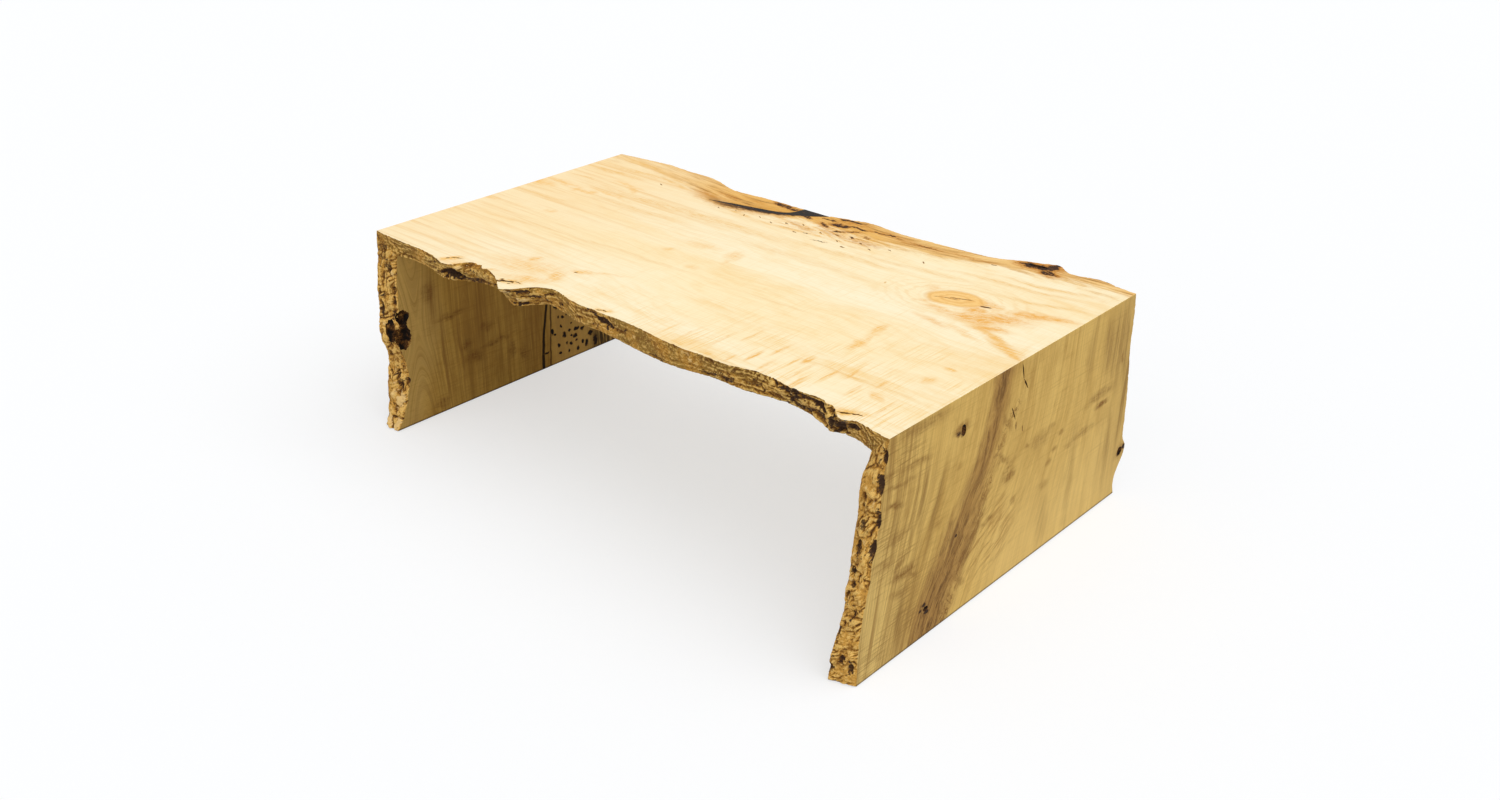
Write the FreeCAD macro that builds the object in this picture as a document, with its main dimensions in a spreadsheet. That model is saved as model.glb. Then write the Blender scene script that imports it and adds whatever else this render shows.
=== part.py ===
import FreeCAD, Part
import Sketcher
import math
import os

# Waterfall coffee table: one live-edge board cut into three slabs and mitred at two corners.
# Frame: X runs along the table, Y from the front edge to the back edge, Z up, in millimetres.
# The origin is on the floor, below the middle of the table.

os.makedirs("parts", exist_ok=True)
doc = FreeCAD.newDocument("waterfall_table")

# Driving sizes, one cell each.
SIZES = [
    ("table_length", "1200", "overall length, left face to right face"),
    ("table_height", "400", "floor to the show face of the top"),
    ("slab_width", "800", "widest natural width of the board"),
    ("slab_thickness", "42", "planed thickness of the board"),
    ("tenon_thickness", "10", "loose tenon, across the joint face"),
    ("tenon_width", "24", "loose tenon, along the joint"),
    ("tenon_length", "50", "loose tenon, half in each slab"),
    ("tenon_count", "6", "tenons in each joint"),
    ("tenon_margin", "70", "first and last tenon centre from the natural edges"),
    ("tenon_setback", "20", "tenon centre from the inner corner, up the joint face"),
    ("tenon_fit", "0.1", "clearance on each side of a tenon"),
    ("tenon_end_gap", "0.4", "glue space past each end of a tenon"),
    ("fill_depth", "12", "depth of the resin in the crack of the top"),
    ("fill_fit", "0.1", "clearance between resin and wood"),
    ("cut_overrun", "20", "how far a cut runs past the edge it opens"),
    ("glide_diameter", "28", "felt disc under a foot"),
    ("glide_thickness", "2", "felt disc under a foot"),
    ("glide_inset", "60", "disc centre from the natural edge of the foot"),
]
sheet = doc.addObject("Spreadsheet::Sheet", "dims")
for row, (alias, text, note) in enumerate(SIZES, start=1):
    sheet.set(f"A{row}", alias)
    sheet.set(f"B{row}", text)
    sheet.set(f"C{row}", note)
    sheet.setAlias(f"B{row}", alias)
doc.recompute()

# Natural edges of the board, read by eye. Each row is a share of the length of the face,
# then the share of the board's width on the show face and on the inner face.
# Shares across the board count from its front to its back.
TOP_FRONT_SHARES = [
    (0.000, 0.092, 0.104),
    (0.040, 0.086, 0.122),
    (0.100, 0.088, 0.106),
    (0.150, 0.087, 0.086),
    (0.172, 0.070, 0.119),
    (0.200, 0.064, 0.132),
    (0.206, 0.120, 0.133),
    (0.240, 0.119, 0.139),
    (0.275, 0.104, 0.119),
    (0.305, 0.076, 0.091),
    (0.322, 0.052, 0.117),
    (0.340, 0.080, 0.155),
    (0.352, 0.118, 0.155),
    (0.385, 0.142, 0.147),
    (0.425, 0.115, 0.128),
    (0.480, 0.115, 0.133),
    (0.540, 0.121, 0.123),
    (0.600, 0.110, 0.113),
    (0.650, 0.102, 0.113),
    (0.700, 0.112, 0.131),
    (0.730, 0.107, 0.131),
    (0.760, 0.128, 0.126),
    (0.810, 0.127, 0.142),
    (0.835, 0.112, 0.146),
    (0.885, 0.128, 0.138),
    (0.910, 0.112, 0.122),
    (0.928, 0.070, 0.111),
    (0.942, 0.104, 0.123),
    (0.970, 0.085, 0.123),
    (1.000, 0.081, 0.104),
]
TOP_BACK_SHARES = [
    (0.000, 0.886, 0.872),
    (0.050, 0.892, 0.872),
    (0.105, 0.914, 0.885),
    (0.150, 0.898, 0.885),
    (0.210, 0.907, 0.876),
    (0.250, 0.886, 0.870),
    (0.280, 0.864, 0.858),
    (0.330, 0.876, 0.852),
    (0.400, 0.881, 0.855),
    (0.470, 0.877, 0.862),
    (0.510, 0.896, 0.868),
    (0.550, 0.918, 0.880),
    (0.600, 0.901, 0.890),
    (0.660, 0.907, 0.884),
    (0.730, 0.914, 0.890),
    (0.780, 0.920, 0.900),
    (0.820, 0.960, 0.915),
    (0.845, 0.966, 0.935),
    (0.862, 0.996, 0.940),
    (0.885, 0.953, 0.936),
    (0.910, 0.955, 0.925),
    (0.940, 0.978, 0.930),
    (0.965, 0.957, 0.935),
    (1.000, 0.953, 0.935),
]
RIGHT_FRONT_SHARES = [
    (0.00, 0.019, 0.000),
    (0.06, 0.019, 0.002),
    (0.10, 0.019, 0.000),
    (0.17, 0.019, 0.017),
    (0.25, 0.024, 0.029),
    (0.33, 0.031, 0.047),
    (0.39, 0.039, 0.037),
    (0.47, 0.049, 0.058),
    (0.54, 0.045, 0.053),
    (0.60, 0.061, 0.059),
    (0.70, 0.066, 0.069),
    (0.82, 0.067, 0.071),
    (0.91, 0.074, 0.072),
    (0.96, 0.078, 0.097),
    (1.00, 0.081, 0.104),
]
RIGHT_BACK_SHARES = [
    (0.000, 0.969, 0.955),
    (0.080, 0.957, 0.950),
    (0.130, 0.976, 0.955),
    (0.180, 0.994, 0.965),
    (0.235, 1.004, 0.967),
    (0.262, 0.980, 0.950),
    (0.350, 0.979, 0.952),
    (0.500, 0.976, 0.955),
    (0.630, 0.968, 0.948),
    (0.750, 0.957, 0.945),
    (0.880, 0.961, 0.940),
    (1.000, 0.953, 0.935),
]
LEFT_FRONT_SHARES = [
    (0.00, 0.059, 0.052),
    (0.05, 0.068, 0.072),
    (0.13, 0.072, 0.089),
    (0.22, 0.074, 0.098),
    (0.30, 0.082, 0.103),
    (0.38, 0.087, 0.097),
    (0.46, 0.068, 0.084),
    (0.54, 0.069, 0.089),
    (0.62, 0.078, 0.094),
    (0.69, 0.072, 0.092),
    (0.80, 0.084, 0.096),
    (0.92, 0.088, 0.097),
    (1.00, 0.092, 0.104),
]
LEFT_BACK_SHARES = [
    (0.00, 0.862, 0.850),
    (0.12, 0.856, 0.838),
    (0.25, 0.872, 0.846),
    (0.38, 0.881, 0.858),
    (0.50, 0.867, 0.856),
    (0.62, 0.876, 0.850),
    (0.75, 0.891, 0.862),
    (0.88, 0.883, 0.870),
    (1.00, 0.886, 0.872),
]
# The crack in the top, from its tip to the back edge: along the table, then across the board.
CRACK_FRONT_SHARES = [
    (0.282, 0.774),
    (0.317, 0.782),
    (0.358, 0.791),
    (0.396, 0.799),
    (0.429, 0.824),
    (0.462, 0.853),
    (0.482, 0.880),
]
CRACK_BACK_SHARES = [
    (0.282, 0.776),
    (0.321, 0.794),
    (0.358, 0.807),
    (0.396, 0.818),
    (0.418, 0.827),
    (0.428, 0.854),
    (0.430, 0.880),
]
MIDDLE_SHARE = 0.5
CURVE_DEGREE = 3
POLE_WEIGHT = 1
MITRE_ANGLE = 45
ORIGIN_POINT = (-1, 1)
UP = FreeCAD.Vector(0, 0, 1)
ACROSS = FreeCAD.Vector(0, 1, 0)


def number(formula):
    """Value of a formula of the sheet."""
    return float(sheet.evalExpression(formula))


def bind(item, path, formulas):
    """Tie the three coordinates of a position to formulas of the sheet."""
    for letter, formula in zip("xyz", formulas):
        item.setExpression(f"{path}.Base.{letter}", formula)


def origin_feature(body, role):
    return [f for f in body.Origin.OriginFeatures if f.Role == role][0]


def add_sketch(body, label, role, position, turn=0):
    """Empty sketch on one of the body's own planes, moved and turned about Y."""
    sketch = body.newObject("Sketcher::SketchObject", label)
    sketch.AttachmentSupport = (origin_feature(body, role), "")
    sketch.MapMode = "FlatFace"
    rotation = FreeCAD.Rotation(ACROSS, turn)
    sketch.AttachmentOffset = FreeCAD.Placement(FreeCAD.Vector(0, 0, 0), rotation)
    bind(sketch, "AttachmentOffset", position)
    return sketch


def draw_curve(sketch, poles):
    """Smooth curve whose control points are bound to the sheet, first and last on the curve."""
    spots = [FreeCAD.Vector(number(px), number(py), 0) for px, py in poles]
    counts = [CURVE_DEGREE + 1] + [1] * (len(spots) - CURVE_DEGREE - 1) + [CURVE_DEGREE + 1]
    curve = Part.BSplineCurve()
    curve.buildFromPolesMultsKnots(spots, counts, list(range(len(counts))), False, CURVE_DEGREE)
    index = sketch.addGeometry(curve, False)
    rings = [Part.Circle(spot, UP, POLE_WEIGHT) for spot in spots]
    rings = sketch.addGeometry(rings, True)
    rules = [Sketcher.Constraint("Weight", rings[0], POLE_WEIGHT)]
    rules += [Sketcher.Constraint("Equal", ring, rings[0]) for ring in rings[1:]]
    kind = "InternalAlignment:Sketcher::BSplineControlPoint"
    rules += [Sketcher.Constraint(kind, ring, 3, index, n) for n, ring in enumerate(rings)]
    sketch.addConstraint(rules)
    distances = []
    for ring, spot in zip(rings, spots):
        distances.append(Sketcher.Constraint("DistanceX", *ORIGIN_POINT, ring, 3, spot.x))
        distances.append(Sketcher.Constraint("DistanceY", *ORIGIN_POINT, ring, 3, spot.y))
    formulas = [formula for pole in poles for formula in pole]
    for number_in_sketch, formula in zip(sketch.addConstraint(distances), formulas):
        sketch.setExpression(f"Constraints[{number_in_sketch}]", formula)
    return index


def draw_line(sketch, start, finish):
    """Straight line between two ends of geometry already drawn."""
    ends = [sketch.getPoint(*start), sketch.getPoint(*finish)]
    line = sketch.addGeometry(Part.LineSegment(*ends), False)
    rules = [Sketcher.Constraint("Coincident", line, 1, *start)]
    rules.append(Sketcher.Constraint("Coincident", line, 2, *finish))
    sketch.addConstraint(rules)


def draw_run(sketch, start, length):
    """Straight run across the board from the end of a curve; returns its far end."""
    near = sketch.getPoint(*start)
    far = near + FreeCAD.Vector(0, number(length), 0)
    line = sketch.addGeometry(Part.LineSegment(near, far), False)
    rules = [Sketcher.Constraint("Coincident", line, 1, *start)]
    rules.append(Sketcher.Constraint("Vertical", line))
    sketch.addConstraint(rules)
    run = sketch.addConstraint(Sketcher.Constraint("DistanceY", line, 1, line, 2, number(length)))
    sketch.setExpression(f"Constraints[{run}]", length)
    return (line, 2)


def draw_slot(sketch, width, thickness):
    """Slot with round ends about the sketch origin, its width along the sketch Y axis."""
    radius = number(thickness) / 2
    reach = number(width) / 2 - radius
    high = Part.Circle(FreeCAD.Vector(0, reach, 0), UP, radius)
    low = Part.Circle(FreeCAD.Vector(0, -reach, 0), UP, radius)
    corner = FreeCAD.Vector(radius, reach, 0)
    mirror = FreeCAD.Vector(-radius, reach, 0)
    top = sketch.addGeometry(Part.ArcOfCircle(high, 0, math.pi), False)
    left = sketch.addGeometry(Part.LineSegment(mirror, -corner), False)
    base = sketch.addGeometry(Part.ArcOfCircle(low, math.pi, 2 * math.pi), False)
    right = sketch.addGeometry(Part.LineSegment(-mirror, corner), False)
    ring = [top, left, base, right]
    pairs = zip(ring, ring[1:] + ring[:1])
    rules = [Sketcher.Constraint("Tangent", a, 2, b, 1) for a, b in pairs]
    rules.append(Sketcher.Constraint("PointOnObject", top, 3, -2))
    rules.append(Sketcher.Constraint("Equal", top, base))
    rules.append(Sketcher.Constraint("Symmetric", top, 3, base, 3, *ORIGIN_POINT))
    sketch.addConstraint(rules)
    size = sketch.addConstraint(Sketcher.Constraint("Radius", top, radius))
    sketch.setExpression(f"Constraints[{size}]", f"({thickness}) / 2")
    span = sketch.addConstraint(Sketcher.Constraint("DistanceY", base, 3, top, 3, 2 * reach))
    sketch.setExpression(f"Constraints[{span}]", f"({width}) - ({thickness})")


def draw_outline(sketch, front, back, column, length, swap):
    """Closed outline of one face: natural front, natural back and two straight ends."""
    curves = []
    for shares in (front, back):
        poles = []
        for row in shares:
            pole = (f"{length} * {row[0]}", f"dims.slab_width * {row[column]}")
            poles.append(pole[::-1] if swap else pole)
        curves.append(draw_curve(sketch, poles))
    for end in (1, 2):
        draw_line(sketch, (curves[0], end), (curves[1], end))


def add_slab(label, role, front, back, faces):
    """Slab between its show face and its inner face; each face is (length, position)."""
    body = doc.addObject("PartDesign::Body", label)
    sketches = []
    for column, (length, position) in enumerate(faces, start=1):
        sketch = add_sketch(body, f"{label}_face_{column}", role, position)
        draw_outline(sketch, front, back, column, f"({length})", role == "YZ_Plane")
        sketches.append(sketch)
    loft = body.newObject("PartDesign::AdditiveLoft", f"{label}_board")
    loft.Profile = sketches[0]
    loft.Sections = [(sketches[1], [""])]
    loft.Ruled = True
    doc.recompute()
    return body


def tenon_pitch(shares):
    """Spacing of the tenons, which share out the joint between its two natural edges."""
    joint = f"dims.slab_width * ({shares[1]} - {shares[0]})"
    return f"({joint} - 2 * dims.tenon_margin) / (dims.tenon_count - 1)"


def tenon_position(side, place, shares):
    """Centre of a tenon in the joint on one side; place counts from the front."""
    inner = "dims.table_length / 2 - dims.slab_thickness + dims.tenon_setback / sqrt(2)"
    rise = "dims.table_height - dims.slab_thickness + dims.tenon_setback / sqrt(2)"
    first = f"dims.slab_width * ({shares[0]} - {MIDDLE_SHARE}) + dims.tenon_margin"
    return (f"{side} * ({inner})", f"{first} + {place} * {tenon_pitch(shares)}", rise)


def must_cut(before, feature):
    """A cut into the board adds faces; one that points away from it adds none."""
    if not len(feature.Shape.Faces) > len(before.Shape.Faces):
        raise RuntimeError(f"{feature.Label} removed nothing")


def add_mortises(body, side, shares, into_top):
    """Row of slots for the loose tenons, cut square into the joint face."""
    before = body.Tip
    label = f"{body.Label}_mortise_{'right' if side > 0 else 'left'}"
    position = tenon_position(side, 0, shares)
    sketch = add_sketch(body, f"{label}_outline", "XY_Plane", position, -side * MITRE_ANGLE)
    width = "dims.tenon_width + 2 * dims.tenon_fit"
    thickness = "dims.tenon_thickness + 2 * dims.tenon_fit"
    draw_slot(sketch, width, thickness)
    pocket = body.newObject("PartDesign::Pocket", label)
    pocket.Profile = sketch
    pocket.Reversed = into_top
    pocket.setExpression("Length", "dims.tenon_length / 2 + dims.tenon_end_gap")
    doc.recompute()
    must_cut(before, pocket)
    row = body.newObject("PartDesign::LinearPattern", f"{label}_row")
    row.Originals = [pocket]
    row.Direction = (origin_feature(body, "Y_Axis"), [""])
    row.setExpression("Length", f"{tenon_pitch(shares)} * (dims.tenon_count - 1)")
    row.setExpression("Occurrences", "dims.tenon_count")
    body.Tip = row
    doc.recompute()
    must_cut(pocket, row)


def draw_crack(sketch, fit, overrun=None):
    """Outline of the crack; fit draws it in all round and overrun runs it past the edge."""
    ends = []
    starts = []
    for shares, sign, turned in ((CRACK_FRONT_SHARES, "+", "-"), (CRACK_BACK_SHARES, "-", "+")):
        poles = []
        for along, across in shares:
            place = f"dims.table_length * {along} {turned} {fit}"
            poles.append((place, f"dims.slab_width * {across} {sign} {fit}"))
        curve = draw_curve(sketch, poles)
        starts.append((curve, 1))
        ends.append(draw_run(sketch, (curve, 2), overrun) if overrun else (curve, 2))
    draw_line(sketch, *starts)
    draw_line(sketch, *ends)


# The three slabs. Corner values are shared, so the natural edges meet at the mitres.
half_width = "-dims.slab_width / 2"
top = add_slab(
    "top_slab",
    "XY_Plane",
    TOP_FRONT_SHARES,
    TOP_BACK_SHARES,
    [
        ("dims.table_length", ("-dims.table_length / 2", half_width, "dims.table_height")),
        (
            "dims.table_length - 2 * dims.slab_thickness",
            (
                "dims.slab_thickness - dims.table_length / 2",
                half_width,
                "dims.table_height - dims.slab_thickness",
            ),
        ),
    ],
)
legs = {}
for name, side, front, back in (
    ("left_leg_slab", -1, LEFT_FRONT_SHARES, LEFT_BACK_SHARES),
    ("right_leg_slab", 1, RIGHT_FRONT_SHARES, RIGHT_BACK_SHARES),
):
    outer = f"{side} * dims.table_length / 2"
    inner = f"{side} * (dims.table_length / 2 - dims.slab_thickness)"
    tall = "dims.table_height - dims.glide_thickness"
    faces = [
        (tall, (half_width, "dims.glide_thickness", outer)),
        (f"{tall} - dims.slab_thickness", (half_width, "dims.glide_thickness", inner)),
    ]
    legs[side] = add_slab(name, "YZ_Plane", front, back, faces)
parts = [top, legs[-1], legs[1]]

# Loose tenons across both mitres, with their mortises.
for side, ends in ((-1, 0), (1, -1)):
    name = "right" if side > 0 else "left"
    joint_shares = (TOP_FRONT_SHARES[ends][2], TOP_BACK_SHARES[ends][2])
    add_mortises(top, side, joint_shares, True)
    add_mortises(legs[side], side, joint_shares, False)
    for count in range(int(number("dims.tenon_count"))):
        tenon = doc.addObject("PartDesign::Body", f"{name}_mitre_tenon_{count + 1}")
        outline = add_sketch(tenon, f"{tenon.Label}_outline", "XY_Plane", ("0", "0", "0"))
        draw_slot(outline, "dims.tenon_width", "dims.tenon_thickness")
        pad = tenon.newObject("PartDesign::Pad", f"{tenon.Label}_stock")
        pad.Profile = outline
        pad.SideType = "Symmetric"
        pad.setExpression("Length", "dims.tenon_length")
        tenon.Placement.Rotation = FreeCAD.Rotation(ACROSS, -side * MITRE_ANGLE)
        bind(tenon, "Placement", tenon_position(side, count, joint_shares))
        parts.append(tenon)

# Crack in the top at its back edge, filled flush with resin.
crack_corner = ("-dims.table_length / 2", half_width, "dims.table_height")
before = top.Tip
opening = add_sketch(top, "top_slab_crack_outline", "XY_Plane", crack_corner)
draw_crack(opening, "0", "dims.cut_overrun")
crack = top.newObject("PartDesign::Pocket", "top_slab_crack")
crack.Profile = opening
crack.setExpression("Length", "dims.fill_depth")
doc.recompute()
must_cut(before, crack)

fill = doc.addObject("PartDesign::Body", "crack_fill")
outline = add_sketch(fill, "crack_fill_outline", "XY_Plane", crack_corner)
draw_crack(outline, "dims.fill_fit")
pour = fill.newObject("PartDesign::Pad", "crack_fill_pour")
pour.Profile = outline
pour.Reversed = True
pour.setExpression("Length", "dims.fill_depth")
parts.append(fill)

# Felt discs under the two feet, on which the table stands.
for name, side, front, back in (
    ("left", -1, LEFT_FRONT_SHARES, LEFT_BACK_SHARES),
    ("right", 1, RIGHT_FRONT_SHARES, RIGHT_BACK_SHARES),
):
    front_foot = f"dims.slab_width * ({max(front[0][1:])} - {MIDDLE_SHARE}) + dims.glide_inset"
    back_foot = f"dims.slab_width * ({min(back[0][1:])} - {MIDDLE_SHARE}) - dims.glide_inset"
    spots = {
        "front": front_foot,
        "middle": f"({front_foot} + {back_foot}) / 2",
        "back": back_foot,
    }
    for spot, along in spots.items():
        glide = doc.addObject("Part::Cylinder", f"{name}_felt_glide_{spot}")
        glide.setExpression("Radius", "dims.glide_diameter / 2")
        glide.setExpression("Height", "dims.glide_thickness")
        centre = f"{side} * (dims.table_length - dims.slab_thickness) / 2"
        bind(glide, "Placement", (centre, along, "0"))
        parts.append(glide)
doc.recompute()

# Nothing is exported unless every object is sound.
for item in doc.Objects:
    if "Invalid" in item.State or "Error" in item.State:
        raise RuntimeError(f"{item.Label} did not compute: {item.State}")
for part in parts:
    if part.Shape.isNull() or not part.Shape.isValid():
        raise RuntimeError(f"{part.Label} has no sound solid")
    part.Shape.exportStep(f"parts/{part.Label}.step")
    box = part.Shape.BoundBox
    spans = ", ".join(f"{span:.1f}" for span in (box.XLength, box.YLength, box.ZLength))
    print(f"{part.Label}: {len(part.Shape.Solids)} solid, {spans} mm")
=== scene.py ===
# %% [markdown]
# # A waterfall coffee table from one live-edge board
# The real table is one thick board of pale, spalted maple, cut into a top and two ends
# and joined with mitres, so that the grain runs over the corners like water.
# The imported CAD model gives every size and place. This lesson dresses it: natural edges
# with lumps and pits, planed faces with figure and stains, a resin-filled crack, felt feet.

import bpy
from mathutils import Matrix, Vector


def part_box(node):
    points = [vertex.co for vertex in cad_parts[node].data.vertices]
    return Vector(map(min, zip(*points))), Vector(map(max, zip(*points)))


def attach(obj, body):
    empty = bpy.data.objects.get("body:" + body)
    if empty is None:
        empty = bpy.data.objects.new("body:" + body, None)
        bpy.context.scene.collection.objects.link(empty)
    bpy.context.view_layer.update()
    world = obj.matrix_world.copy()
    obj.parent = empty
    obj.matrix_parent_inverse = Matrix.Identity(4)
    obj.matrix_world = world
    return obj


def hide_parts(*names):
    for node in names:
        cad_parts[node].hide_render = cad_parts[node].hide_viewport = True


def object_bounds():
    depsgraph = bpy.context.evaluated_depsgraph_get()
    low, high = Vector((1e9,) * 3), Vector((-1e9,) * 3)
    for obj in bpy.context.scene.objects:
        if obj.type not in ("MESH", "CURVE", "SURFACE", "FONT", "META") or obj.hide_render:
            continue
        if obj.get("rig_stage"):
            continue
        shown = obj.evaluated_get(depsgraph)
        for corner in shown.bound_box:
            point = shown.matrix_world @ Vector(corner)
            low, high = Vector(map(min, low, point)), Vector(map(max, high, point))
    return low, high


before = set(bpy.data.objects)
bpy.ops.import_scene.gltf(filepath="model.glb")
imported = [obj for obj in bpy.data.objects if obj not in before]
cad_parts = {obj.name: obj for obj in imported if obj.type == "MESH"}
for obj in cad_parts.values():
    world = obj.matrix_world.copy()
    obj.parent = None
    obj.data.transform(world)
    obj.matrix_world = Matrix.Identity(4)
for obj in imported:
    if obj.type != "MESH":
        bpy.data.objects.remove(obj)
cad_low, cad_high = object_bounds()
print("CAD box, metres:", [round(value, 4) for value in (*cad_low, *cad_high)])

# %% The other tools, and the main sizes in metres
import math

import bpy
import numpy as np
from mathutils import Matrix, Vector, noise

MM = 0.001
HALF_LENGTH = 0.600
HEIGHT = 0.400
THICKNESS = 0.042
FOOT = 0.002

# The noise module's random functions take this seed.
SEED = 7
noise.seed_set(SEED)
scene = bpy.context.scene
scene.view_settings.view_transform = "Standard"
print("nodes in the frame:", len(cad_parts))

# %% [markdown]
# ## The camera
# The photograph was taken from the front right, a little above the table. Its focal length
# and place were worked out from the table's straight edges. A camera could be aimed with a
# constraint, but three plain angles and a matrix say exactly where it looks.

# %% Camera at the photograph's place
IMAGE_WIDTH = 1500
FOCAL_PIXELS = 1473
SENSOR_WIDTH = 36
CAMERA_PLACE = Vector((1.642, -1.8015, 1.376))
YAW, PITCH, ROLL = (math.radians(angle) for angle in (41.54, 27.12, 0.33))

bpy.ops.object.select_all(action="DESELECT")
bpy.ops.object.camera_add(location=CAMERA_PLACE)
camera = bpy.context.object
camera.name = "photo_camera"
camera.data.sensor_width = SENSOR_WIDTH
camera.data.lens = FOCAL_PIXELS / IMAGE_WIDTH * SENSOR_WIDTH
level = math.cos(PITCH)
ahead = Vector((-math.sin(YAW) * level, math.cos(YAW) * level, -math.sin(PITCH)))
aside = Vector((math.cos(YAW), math.sin(YAW), 0))
above = aside.cross(ahead)
rolled_aside = math.cos(ROLL) * aside + math.sin(ROLL) * above
rolled_above = math.cos(ROLL) * above - math.sin(ROLL) * aside
turn = Matrix((rolled_aside, rolled_above, -ahead)).transposed().to_4x4()
camera.matrix_world = Matrix.Translation(CAMERA_PLACE) @ turn
scene.camera = camera
print("camera lens, mm:", round(camera.data.lens, 3))

# %% [markdown]
# ## Shader maths as Python
# A material is a tree of nodes. Drawing it by hand is fine for ten nodes, and hard to read
# for two hundred. One small class wraps a socket, so that `1 - mask` adds a Math node, and
# its `node` method adds any other kind of node with its settings and its sockets.


# %% The wrapped socket
class Wire:
    """One output socket of a shader tree. Python's operators on it add Math nodes."""

    def __init__(self, socket):
        self.socket = socket

    def node(self, kind, settings=None, sockets=None, output=0):
        """Add a node: its settings first, then values or links for its input sockets."""
        tree = self.socket.id_data
        made = tree.nodes.new("ShaderNode" + kind)
        for key, value in (settings or {}).items():
            if key == "curve":
                points = made.mapping.curves[0].points
                points[0].location, points[-1].location = value[0], value[-1]
                for bend in value[1:-1]:
                    points.new(*bend)
                made.mapping.update()
            else:
                setattr(made, key, value)
        for key, value in (sockets or {}).items():
            if isinstance(value, Wire):
                tree.links.new(value.socket, made.inputs[key])
            else:
                made.inputs[key].default_value = value
        return Wire(made.outputs[output])

    def maths(self, operation, first, second=0.0):
        return self.node("Math", {"operation": operation}, {0: first, 1: second})

    def vector(self, operation, first, second):
        return self.node("VectorMath", {"operation": operation}, {0: first, 1: second})

    def sine(self):
        return self.maths("SINE", self)

    def __abs__(self):
        return self.maths("ABSOLUTE", self)

    def __add__(self, other):
        return self.maths("ADD", self, other)

    def __sub__(self, other):
        return self.maths("SUBTRACT", self, other)

    def __rsub__(self, other):
        return self.maths("SUBTRACT", other, self)

    def __mul__(self, other):
        return self.maths("MULTIPLY", self, other)

    def __truediv__(self, other):
        return self.maths("DIVIDE", self, other)

    __radd__ = __add__


print("a Wire adds Math nodes for + - * / and abs()")


# %% Colours and masks
def tint(red, green, blue):
    """A colour as it is picked on a screen, 0 to 255, made linear for the shader."""
    levels = [value / 255 for value in (red, green, blue)]
    linear = [v / 12.92 if v <= 0.04045 else ((v + 0.055) / 1.055) ** 2.4 for v in levels]
    return (*linear, 1.0)


def rise(value, low, high, top=1.0):
    """A mask that rises smoothly from 0 at low to its top value at high."""
    sockets = {"Value": value, "From Min": low, "From Max": high, "To Max": top}
    return value.node("MapRange", {"interpolation_type": "SMOOTHSTEP"}, sockets)


def fall(value, low, high):
    """A mask that falls smoothly from 1 at low to 0 at high."""
    return 1 - rise(value, low, high)


def blend(share, colour, other, way="MIX"):
    """Lay the other colour over a colour by a share from 0 to 1."""
    settings = {"data_type": "RGBA", "blend_type": way}
    return share.node("Mix", settings, {0: share, 6: colour, 7: other}, 2)


def coats(colour, *layers):
    """Lay coats of (share, screen colour) over a colour, one after the other."""
    for share, dye in layers:
        colour = blend(share, colour, tint(*dye))
    return colour


print("middle grey, made linear:", round(tint(128, 128, 128)[0], 3))


# %% Places and noise
def grain(place, along, across, detail=3.0, rough=0.55):
    """Noise that is drawn out along the board: both counts are per metre."""
    drawn = place.vector("MULTIPLY", place, (along, across, across))
    sockets = {"Vector": drawn, "Scale": 1.0, "Detail": detail, "Roughness": rough}
    return place.node("TexNoise", {}, sockets)


def even_grain(place, count, detail=3.0, rough=0.55):
    """Noise that is the same in all directions."""
    return grain(place, count, count, detail, rough)


def shifted(place, across):
    """Move a place on the board across the grain by a value."""
    return place.vector("ADD", place, across.node("CombineXYZ", {}, {"Y": across}))


def oval(place, centre, size, turned):
    """A place counted from a centre in the half sizes of an oval, all in mm."""
    sockets = {
        "Vector": place,
        "Location": [value * MM for value in centre],
        "Rotation": (0.0, 0.0, math.radians(turned)),
        "Scale": [value * MM for value in size],
    }
    return place.node("Mapping", {"vector_type": "TEXTURE"}, sockets)


def radius(place, centre, size, turned=0.0):
    """How far a place is from the centre of an oval: 1 on its rim."""
    local = oval(place, centre, size, turned)
    return place.node("VectorMath", {"operation": "LENGTH"}, {0: local}, "Value")


def follow(value, rows):
    """A smooth curve through rows of (along, across), both in mm; gives across in metres."""
    alongs, acrosses = zip(*rows)
    low, span = min(alongs), max(alongs) - min(alongs)
    floor_level, lift = min(acrosses), max(acrosses) - min(acrosses)
    share = (value - low * MM) / (span * MM)
    points = sorted(((a - low) / span, (b - floor_level) / lift) for a, b in rows)
    curve = share.node("FloatCurve", {"curve": points}, {"Value": share})
    return curve * (lift * MM) + floor_level * MM


print("places are in metres, tables in mm: 1 mm is", MM, "m")


# %% Start and close a finish
def start_finish(name):
    """A new material, and its Object coordinates to build on."""
    material = bpy.data.materials.new(name)
    material.use_nodes = True
    tree = material.node_tree
    tree.nodes.clear()
    return material, Wire(tree.nodes.new("ShaderNodeTexCoord").outputs["Object"])


def close_finish(material, colour, roughness, height, relief, specular):
    """Principled surface with a bump of so many mm, and its material output."""
    bump = colour.node("Bump", {}, {"Height": height, "Distance": relief * MM})
    sockets = {
        "Base Color": colour,
        "Roughness": roughness,
        "Normal": bump,
        "Specular IOR Level": specular,
    }
    surface = colour.node("BsdfPrincipled", {}, sockets)
    tree = surface.socket.id_data
    output = tree.nodes.new("ShaderNodeOutputMaterial")
    tree.links.new(surface.socket, output.inputs["Surface"])
    print(material.name, "has", len(tree.nodes), "nodes")


print("finishes so far:", len(bpy.data.materials))

# %% [markdown]
# ## Studio floor and light
# The photograph shows the table on white with a soft grey shadow under it. A bright lamp
# could burn the floor out, but it would burn the pale wood too. Instead the floor gives the
# camera a share of plain white, and the rest of it is an ordinary matt floor that keeps the
# shadow. One very wide, soft lamp from above right, a weak fill from the front and an even
# sky light the wood.

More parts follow.
